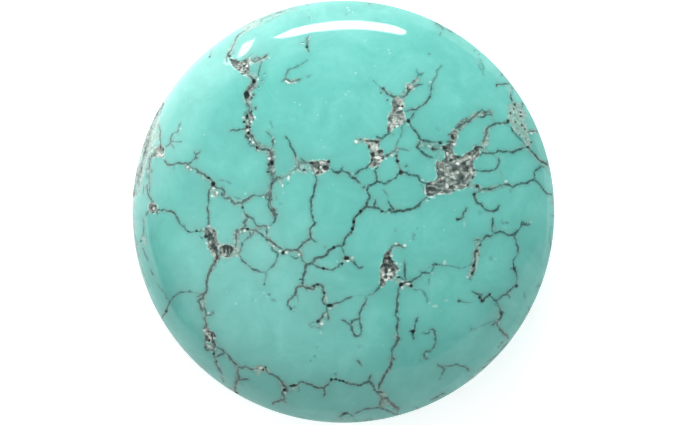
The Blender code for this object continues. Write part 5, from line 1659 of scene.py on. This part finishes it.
def stone_material():
    """Polished turquoise with clouds and specks, dark veins with pale rims, rough crusty matrix, and pale
    grains and painted highlights.
    """
    material = bpy.data.materials.new("turquoise_with_matrix")
    material.use_nodes = True
    tree = material.node_tree
    shader = tree.nodes["Principled BSDF"]
    n = Nodes(tree)
    moved = n.moved(NOISE_STEP)

    clouds = n.noise(3.2, 4.0, 0.6, 0.8)
    wide = n.noise(9.0, 2.0, 0.5)
    mottle = n.noise(0.7, 4.0, 0.6)
    grain = n.noise(0.33, 3.0, 0.6)
    fine = n.noise(0.11, 3.0, 0.6)
    patchy = n.noise(1.4, 3.0, 0.6, 0.4)
    blend = n.math("ADD", n.times(grain, 0.55), n.times(fine, 0.45))

    small = n.math("ADD", n.times(wide, 0.2), n.times(mottle, 0.2))
    tone = n.math("ADD", n.times(clouds, 0.6), small)
    colour = n.ramp(tone, (0.36, DEEP), (0.5, BODY), (0.66, LIGHT))
    speck_cells = n.add("ShaderNodeTexVoronoi")
    tree.links.new(n.place, speck_cells.inputs["Vector"])
    speck_cells.inputs["Scale"].default_value = 1.0 / (SPECK_SIZE * MM)
    speck = n.step(speck_cells.outputs["Distance"], 0.10, 0.17, 1.0, 0.0)
    speck = n.times(speck, n.step(patchy, 0.55, 0.65))
    colour = n.mix(n.times(speck, 0.45), colour, MINT)

    back_vein, back_stain, back_patch = unseen_markings(n, grain)
    stain = n.math("MAXIMUM", n.field("vein_stain"), back_stain)
    colour = n.mix(n.times(stain, n.step(mottle, 0.36, 0.60, 0.45, 1.0)), colour, STAINED)

    vein = n.ragged(n.ragged(n.field("vein"), fine, 0.07), grain, 0.05)
    pit = n.ragged(n.ragged(n.field("pit"), fine, 0.14), grain, 0.17)
    band = n.ragged(n.ragged(n.field("band"), grain, 0.42), fine, 0.26)
    crust = n.ragged(n.ragged(n.field("crust"), grain, 0.34), fine, 0.20)
    patch = n.ragged(n.ragged(n.ragged(n.field("patch"), grain, 0.32), fine, 0.18), mottle, 0.22)
    glint = n.ragged(n.ragged(n.field("glint"), fine, 0.13), grain, 0.14)

    clots = n.noise(0.30, 4.0, 0.62, 0.3, moved)
    near = n.step(n.math("MAXIMUM", n.field("vein"), n.field("pit")), -0.24, -0.02)
    colour = n.mix(n.times(near, n.field("vein_darkness"), n.step(grain, 0.36, 0.62), 0.5), colour, SHADE)
    rim = n.times(n.step(n.math("MAXIMUM", vein, pit), -0.15, -0.05), n.step(mottle, 0.47, 0.60))
    pale = n.mix(n.step(mottle, 0.42, 0.58), MINT, BEIGE)
    colour = n.mix(n.times(rim, n.field("vein_darkness"), 0.16), colour, pale)
    crust_cover = n.math("MAXIMUM", n.step(crust, -0.05, 0.07), n.field("edge_stain"))
    crust_cover = n.times(crust_cover, n.step(blend, 0.36, 0.5, 0.35, 1.0))
    crust_colour = n.ramp(
        n.math("ADD", n.times(clots, 0.6), n.times(fine, 0.4)),
        (0.38, CRUST_DIM), (0.47, BAND_MIDDLE), (0.56, CRUST_MIDDLE), (0.68, CRUST_LIGHT),
    )
    colour = n.mix(n.times(crust_cover, 0.85), colour, crust_colour)

    # Crumbly matrix: clots of dark, grey brown and pale grains.
    lumps = n.noise(0.50, 3.0, 0.6, 0.5, moved)
    matrix_tone = n.math("ADD", lumps, n.times(n.field("patch_pale"), 0.13))
    matrix = n.ramp(
        n.math("ADD", n.times(matrix_tone, 0.7), n.times(fine, 0.3)),
        (0.38, MATRIX_DARK), (0.45, MATRIX_DIM), (0.52, MATRIX_MIDDLE), (0.61, MATRIX_LIGHT),
    )
    band_tone = n.math("ADD", clots, n.math("MULTIPLY_ADD", n.field("band_pale"), 0.16, -0.08))
    band_colour = n.ramp(
        n.math("ADD", n.times(band_tone, 0.66), n.times(fine, 0.34)),
        (0.36, MATRIX_DARK), (0.45, MATRIX_DIM), (0.54, BAND_MIDDLE), (0.66, BAND_LIGHT),
    )
    dense = n.times(n.step(band, -0.10, 0.10), n.field("band_amount"))
    band_cover = n.times(dense, n.step(patchy, 0.40, 0.56, 0.5, 1.0))
    colour = n.mix(band_cover, colour, band_colour)
    patch_rim = n.times(n.step(patch, -0.13, -0.03), n.step(clots, 0.44, 0.56))
    colour = n.mix(n.times(patch_rim, 0.62), colour, EDGE_MINT)
    patch_cover = n.math("MAXIMUM", n.step(patch, -0.03, 0.04), back_patch)
    colour = n.mix(patch_cover, colour, matrix)

    vein_cover = n.times(n.step(vein, -0.04, 0.025), n.field("vein_darkness"))
    vein_cover = n.math("MAXIMUM", vein_cover, back_vein)
    vein_colour = n.mix(n.step(clots, 0.45, 0.60), VEIN_DARK, VEIN_TEAL)
    colour = n.mix(n.times(vein_cover, n.step(blend, 0.40, 0.52, 0.55, 1.0)), colour, vein_colour)
    pit_cover = n.times(n.step(pit, -0.03, 0.03), n.field("pit_darkness"))
    colour = n.mix(pit_cover, colour, PIT_DARK)
    # Pale grains and painted highlights, painted near white.
    glint_cover = n.times(n.step(glint, -0.03, 0.03), n.field("glint_strength"))
    colour = n.mix(glint_cover, colour, PALE_GRAIN_AND_GLINT)
    tree.links.new(colour, shader.inputs["Base Color"])

    polish = n.step(clouds, 0.3, 0.7, 0.035, 0.07)
    dull = n.math("MAXIMUM", n.times(patch_cover, 0.6), n.times(crust_cover, 0.25))
    dull = n.math("MAXIMUM", dull, n.times(band_cover, 0.5))
    dull = n.math("MAXIMUM", dull, n.times(vein_cover, 0.22))
    dull = n.math("MAXIMUM", dull, n.times(pit_cover, 0.45))
    tree.links.new(n.math("ADD", polish, dull), shader.inputs["Roughness"])
    shader.inputs["IOR"].default_value = STONE_IOR

    relief = n.times(patch_cover, n.math("ADD", n.times(grain, 0.06), n.times(fine, 0.035)))
    relief = n.math("ADD", relief, n.times(crust_cover, grain, 0.012))
    relief = n.math("ADD", relief, n.times(band_cover, clots, 0.05))
    relief = n.math("SUBTRACT", relief, n.times(vein_cover, 0.006))
    relief = n.math("SUBTRACT", relief, n.times(pit_cover, 0.03))
    relief = n.math("ADD", relief, n.times(n.noise(1.6, 2.0), 0.0015))
    bump = n.add("ShaderNodeBump")
    bump.inputs["Distance"].default_value = MM
    tree.links.new(relief, bump.inputs["Height"])
    tree.links.new(bump.outputs["Normal"], shader.inputs["Normal"])
    return material


# Reflections of the studio's lamps, as outlines in the picture.
LAMPS = {
    "long_window": (16.0, (
        270, 38.5, 275, 36.5, 280, 34, 285, 31.5, 290, 29.5, 297, 27.5, 305, 25.5, 315, 23.5, 325, 22, 335,
        21, 345, 20.5, 355, 20.5, 365, 21, 375, 22, 385, 23.5, 390, 24.5, 395, 26, 400, 28, 403, 30, 402,
        33, 397, 33.3, 385, 31.5, 375, 30, 365, 29, 355, 28.6, 345, 28.8, 335, 29.5, 325, 30.5, 315, 31.5,
        305, 33.5, 300, 34.5, 290, 37, 280, 39, 273, 39,
    )),
    "side_pane": (13.0, (
        253, 39, 249, 41.5, 244, 43.5, 240, 46, 238, 50, 236.5, 54, 235.5, 58, 238, 58.5, 242, 56, 246, 52,
        248.5, 48, 250, 44,
    )),
    "low_pane": (10.0, (
        225, 56, 224.5, 60, 223.5, 67, 226, 67, 229, 64.5, 230, 62.5, 228, 61,
    )),
}
# Distance of the studio's panels in millimetres.
LAMP_DISTANCE = 600.0

# Top edge of the pale sheet round the stone, as its reflection shows it in the picture.
SHEET_TOP = (
    150, 240, 158, 270, 169, 305, 182, 322, 198, 336, 216, 352, 236, 364, 260, 378, 278, 382, 298, 384, 320,
    381.5, 343, 378, 364, 374, 386, 370, 402, 368, 418, 367, 440, 356, 459, 343, 474, 328, 500, 300, 525,
    268, 540, 240,
)
SHEET_GLOW = 0.95
SHEET_SPACING = 6.0
SHEET_FOOT = 1.0

# Soft light of the studio all round: even light and broad bright areas, each with
# its azimuth, elevation, inner and outer half width in degrees, and brightness.
WORLD_GLOW = 0.36
BRIGHT_AREAS = (
    (108.0, 3.0, 8.0, 43.0, 1.8),
    (148.0, 2.0, 8.0, 42.0, 1.9),
    (188.0, 46.0, 8.0, 48.0, 0.45),
    (228.0, 47.0, 18.0, 42.0, 0.75),
)
# Lamps that only give even light and don't show in the polish: azimuth, elevation, size and power in watts.
FILLS = (
    (330.0, 36.0, 0.5, 2.1),
)
FILL_DISTANCE = 0.9
# A round patch of light from above that ends on the stone: its middle and radius in
# picture pixels, the height of its lamp in millimetres, its power in watts, its soft edge
# and the lamp's own radius in millimetres.
SPOT_MIDDLE = (343.0, 165.0)
SPOT_RADIUS = 217.0
SPOT_HEIGHT = 400.0
SPOT_POWER = 2.3
SPOT_SOFTNESS = 0.035
SPOT_SIZE = 3.0
# A bright sheet flat beside the upper left edge: the azimuths between which it brightens
# and fades, its inner and outer radius and its height in millimetres, its brightness, and
# the floor's, to which it fades.
LOW_AZIMUTHS = (62.0, 128.0, 150.0, 205.0)
LOW_RADII = (15.6, 600.0)
LOW_HEIGHT = 0.05
LOW_GLOW = 3.2
FLOOR_RADIANCE = 1.25
# A dark screen low at the front, which keeps soft light off the lower edge of the stone:
# its azimuths, its lower and upper elevation in degrees, and its distance in millimetres.
SCREEN_AZIMUTHS = (190.0, 312.0)
SCREEN_ELEVATIONS = (0.3, 42.0)
SCREEN_DISTANCE = LAMP_DISTANCE * 1.05
# The floor: its colour, the faint glow that keeps it white, and its size in metres.
FLOOR_COLOUR = (0.88, 0.88, 0.88)
FLOOR_GLOW = 0.5
FLOOR_SIZE = 3.0


def mirrored(pixels):
    """Where the line of sight through each pixel goes after the stone mirrors it, on a far sphere."""
    places, normals = surface(from_picture(pixels))
    sight = np.array((0.0, 0.0, CAMERA_HEIGHT)) - places
    sight /= np.linalg.norm(sight, axis=1, keepdims=True)
    away = 2.0 * (sight * normals).sum(axis=1, keepdims=True) * normals - sight
    across = (places * away).sum(axis=1, keepdims=True)
    spare = LAMP_DISTANCE ** 2 - (places ** 2).sum(axis=1, keepdims=True)
    return places + away * (np.sqrt(across ** 2 + spare) - across)


def glowing(name, points, faces, glow):
    """A lit panel of the studio, of one brightness or with one for each point."""
    mesh = bpy.data.meshes.new(name)
    mesh.from_pydata((np.array(points) * MM).tolist(), [], faces)
    mesh.update()
    material = bpy.data.materials.new(name)
    material.use_nodes = True
    tree = material.node_tree
    tree.nodes.clear()
    lit = tree.nodes.new("ShaderNodeEmission")
    if np.ndim(glow):
        attribute = mesh.attributes.new("glow", "FLOAT", "POINT")
        attribute.data.foreach_set("value", np.asarray(glow, dtype=np.float32))
        reader = tree.nodes.new("ShaderNodeAttribute")
        reader.attribute_name = "glow"
        tree.links.new(reader.outputs["Fac"], lit.inputs["Strength"])
    else:
        lit.inputs["Strength"].default_value = glow
    result = tree.nodes.new("ShaderNodeOutputMaterial")
    tree.links.new(lit.outputs[0], result.inputs["Surface"])
    mesh.materials.append(material)
    panel = bpy.data.objects.new(name, mesh)
    bpy.context.scene.collection.objects.link(panel)
    panel.visible_camera = False
    return panel


def direction(azimuth, elevation):
    """Unit direction of an azimuth and elevation in degrees."""
    turn = math.radians(azimuth)
    lift = math.radians(elevation)
    return Vector((math.cos(lift) * math.cos(turn), math.cos(lift) * math.sin(turn), math.sin(lift)))


def strip(name, lower, upper, glow):
    """A lit band between two rows of points."""
    count = len(lower)
    faces = [(k, k + 1, count + k + 1, count + k) for k in range(count - 1)]
    return glowing(name, list(lower) + list(upper), faces, glow)


def build_lamps():
    """Panels whose reflections are the white shapes on the stone."""
    for name, (glow, outline) in LAMPS.items():
        corners = mirrored(pairs(outline))
        panel = glowing(name, corners, [tuple(range(len(corners)))], glow)
        body = bmesh.new()
        body.from_mesh(panel.data)
        bmesh.ops.triangulate(body, faces=body.faces[:])
        body.to_mesh(panel.data)
        body.free()


def build_sheets():
    """Sheets that only the polish shows, and the dark screen that only blocks soft light."""
    top = mirrored(smooth_route(pairs(SHEET_TOP), SHEET_SPACING))
    foot = top.copy()
    foot[:, 2] = SHEET_FOOT
    sheet = strip("pale_sheet", foot, top, SHEET_GLOW)
    sheet.visible_diffuse = False

    azimuths = np.linspace(*SCREEN_AZIMUTHS, 24)
    rows = [
        [direction(azimuth, elevation) * SCREEN_DISTANCE for azimuth in azimuths]
        for elevation in SCREEN_ELEVATIONS
    ]
    screen = strip("dark_screen", *rows, 0.0)
    screen.visible_glossy = False

    azimuths = np.linspace(LOW_AZIMUTHS[0], LOW_AZIMUTHS[3], 60)
    fade = rise(azimuths, *LOW_AZIMUTHS[:2]) * (1.0 - rise(azimuths, *LOW_AZIMUTHS[2:]))
    lift = Vector((0.0, 0.0, LOW_HEIGHT))
    rows = [[direction(azimuth, 0.0) * radius + lift for azimuth in azimuths] for radius in LOW_RADII]
    glow = np.tile(FLOOR_RADIANCE + fade * (LOW_GLOW - FLOOR_RADIANCE), 2)
    low_sheet = strip("low_sheet", *rows, glow)
    low_sheet.visible_diffuse = False
    low_sheet.visible_shadow = False


def build_spot():
    """The round patch of light from above."""
    data = bpy.data.lights.new("spot", "SPOT")
    data.energy = SPOT_POWER
    data.spot_size = 2.0 * math.atan(SPOT_RADIUS * PIXEL / (SPOT_HEIGHT - HEIGHT / 2.0))
    data.spot_blend = SPOT_SOFTNESS
    data.shadow_soft_size = SPOT_SIZE * MM
    spot = bpy.data.objects.new("spot", data)
    spot.location = (
        (SPOT_MIDDLE[0] - OUTLINE_X) * PIXEL * MM,
        (OUTLINE_Y - SPOT_MIDDLE[1]) * PIXEL * MM,
        SPOT_HEIGHT * MM,
    )
    spot.visible_glossy = False
    bpy.context.scene.collection.objects.link(spot)


def build_fills():
    """Lamps that only give even light."""
    for azimuth, elevation, size, power in FILLS:
        toward = direction(azimuth, elevation)
        data = bpy.data.lights.new("fill", "AREA")
        data.size = size
        data.energy = power
        lamp = bpy.data.objects.new("fill", data)
        lamp.location = toward * FILL_DISTANCE
        lamp.rotation_euler = toward.to_track_quat("Z", "Y").to_euler()
        lamp.visible_glossy = False
        lamp.visible_camera = False
        bpy.context.scene.collection.objects.link(lamp)


def build_floor():
    """The pale floor."""
    half = FLOOR_SIZE / 2.0
    corners = [(-half, -half, 0), (half, -half, 0), (half, half, 0), (-half, half, 0)]
    mesh = bpy.data.meshes.new("floor")
    mesh.from_pydata(corners, [], [(0, 1, 2, 3)])
    paint = bpy.data.materials.new("floor")
    paint.use_nodes = True
    shader = paint.node_tree.nodes["Principled BSDF"]
    shader.inputs["Base Color"].default_value = (*FLOOR_COLOUR, 1.0)
    shader.inputs["Roughness"].default_value = 0.9
    shader.inputs["Emission Color"].default_value = (1.0, 1.0, 1.0, 1.0)
    shader.inputs["Emission Strength"].default_value = FLOOR_GLOW
    mesh.materials.append(paint)
    floor = bpy.data.objects.new("floor", mesh)
    bpy.context.scene.collection.objects.link(floor)


def build_world():
    """Even light from all round, with the broad bright areas added to it."""
    world = bpy.data.worlds.new("soft_studio")
    world.use_nodes = True
    tree = world.node_tree
    n = Nodes(tree, "Generated")
    total = WORLD_GLOW
    for azimuth, elevation, inner, outer, glow in BRIGHT_AREAS:
        facing = n.add("ShaderNodeVectorMath", operation="DOT_PRODUCT")
        n.join(n.place, facing.inputs[0])
        facing.inputs[1].default_value = direction(azimuth, elevation)
        edges = (math.cos(math.radians(outer)), math.cos(math.radians(inner)))
        total = n.math("ADD", n.step(facing.outputs["Value"], *edges, 0.0, glow), total)
    tree.links.new(total, tree.nodes["Background"].inputs["Strength"])
    tree.nodes["Background"].inputs["Color"].default_value = (1.0, 1.0, 1.0, 1.0)
    bpy.context.scene.world = world


def build_camera():
    """The camera straight above, framed as the picture is."""
    data = bpy.data.cameras.new("camera")
    data.sensor_fit = "HORIZONTAL"
    data.sensor_width = SENSOR_WIDTH
    data.lens = SENSOR_WIDTH * (CAMERA_HEIGHT - OUTLINE_HEIGHT) / (PICTURE_WIDTH * PIXEL)
    camera = bpy.data.objects.new("camera", data)
    camera.location = (
        (PICTURE_WIDTH / 2.0 - OUTLINE_X) * PIXEL * MM,
        (OUTLINE_Y - PICTURE_HEIGHT / 2.0) * PIXEL * MM,
        CAMERA_HEIGHT * MM,
    )
    bpy.context.scene.collection.objects.link(camera)
    bpy.context.scene.camera = camera


stone = build_stone()
stone.data.materials.append(stone_material())
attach(stone, "root")
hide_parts("turquoise_stone")

build_lamps()
build_sheets()
build_spot()
build_fills()
build_floor()
build_world()
build_camera()
bpy.context.scene.view_settings.view_transform = "Standard"
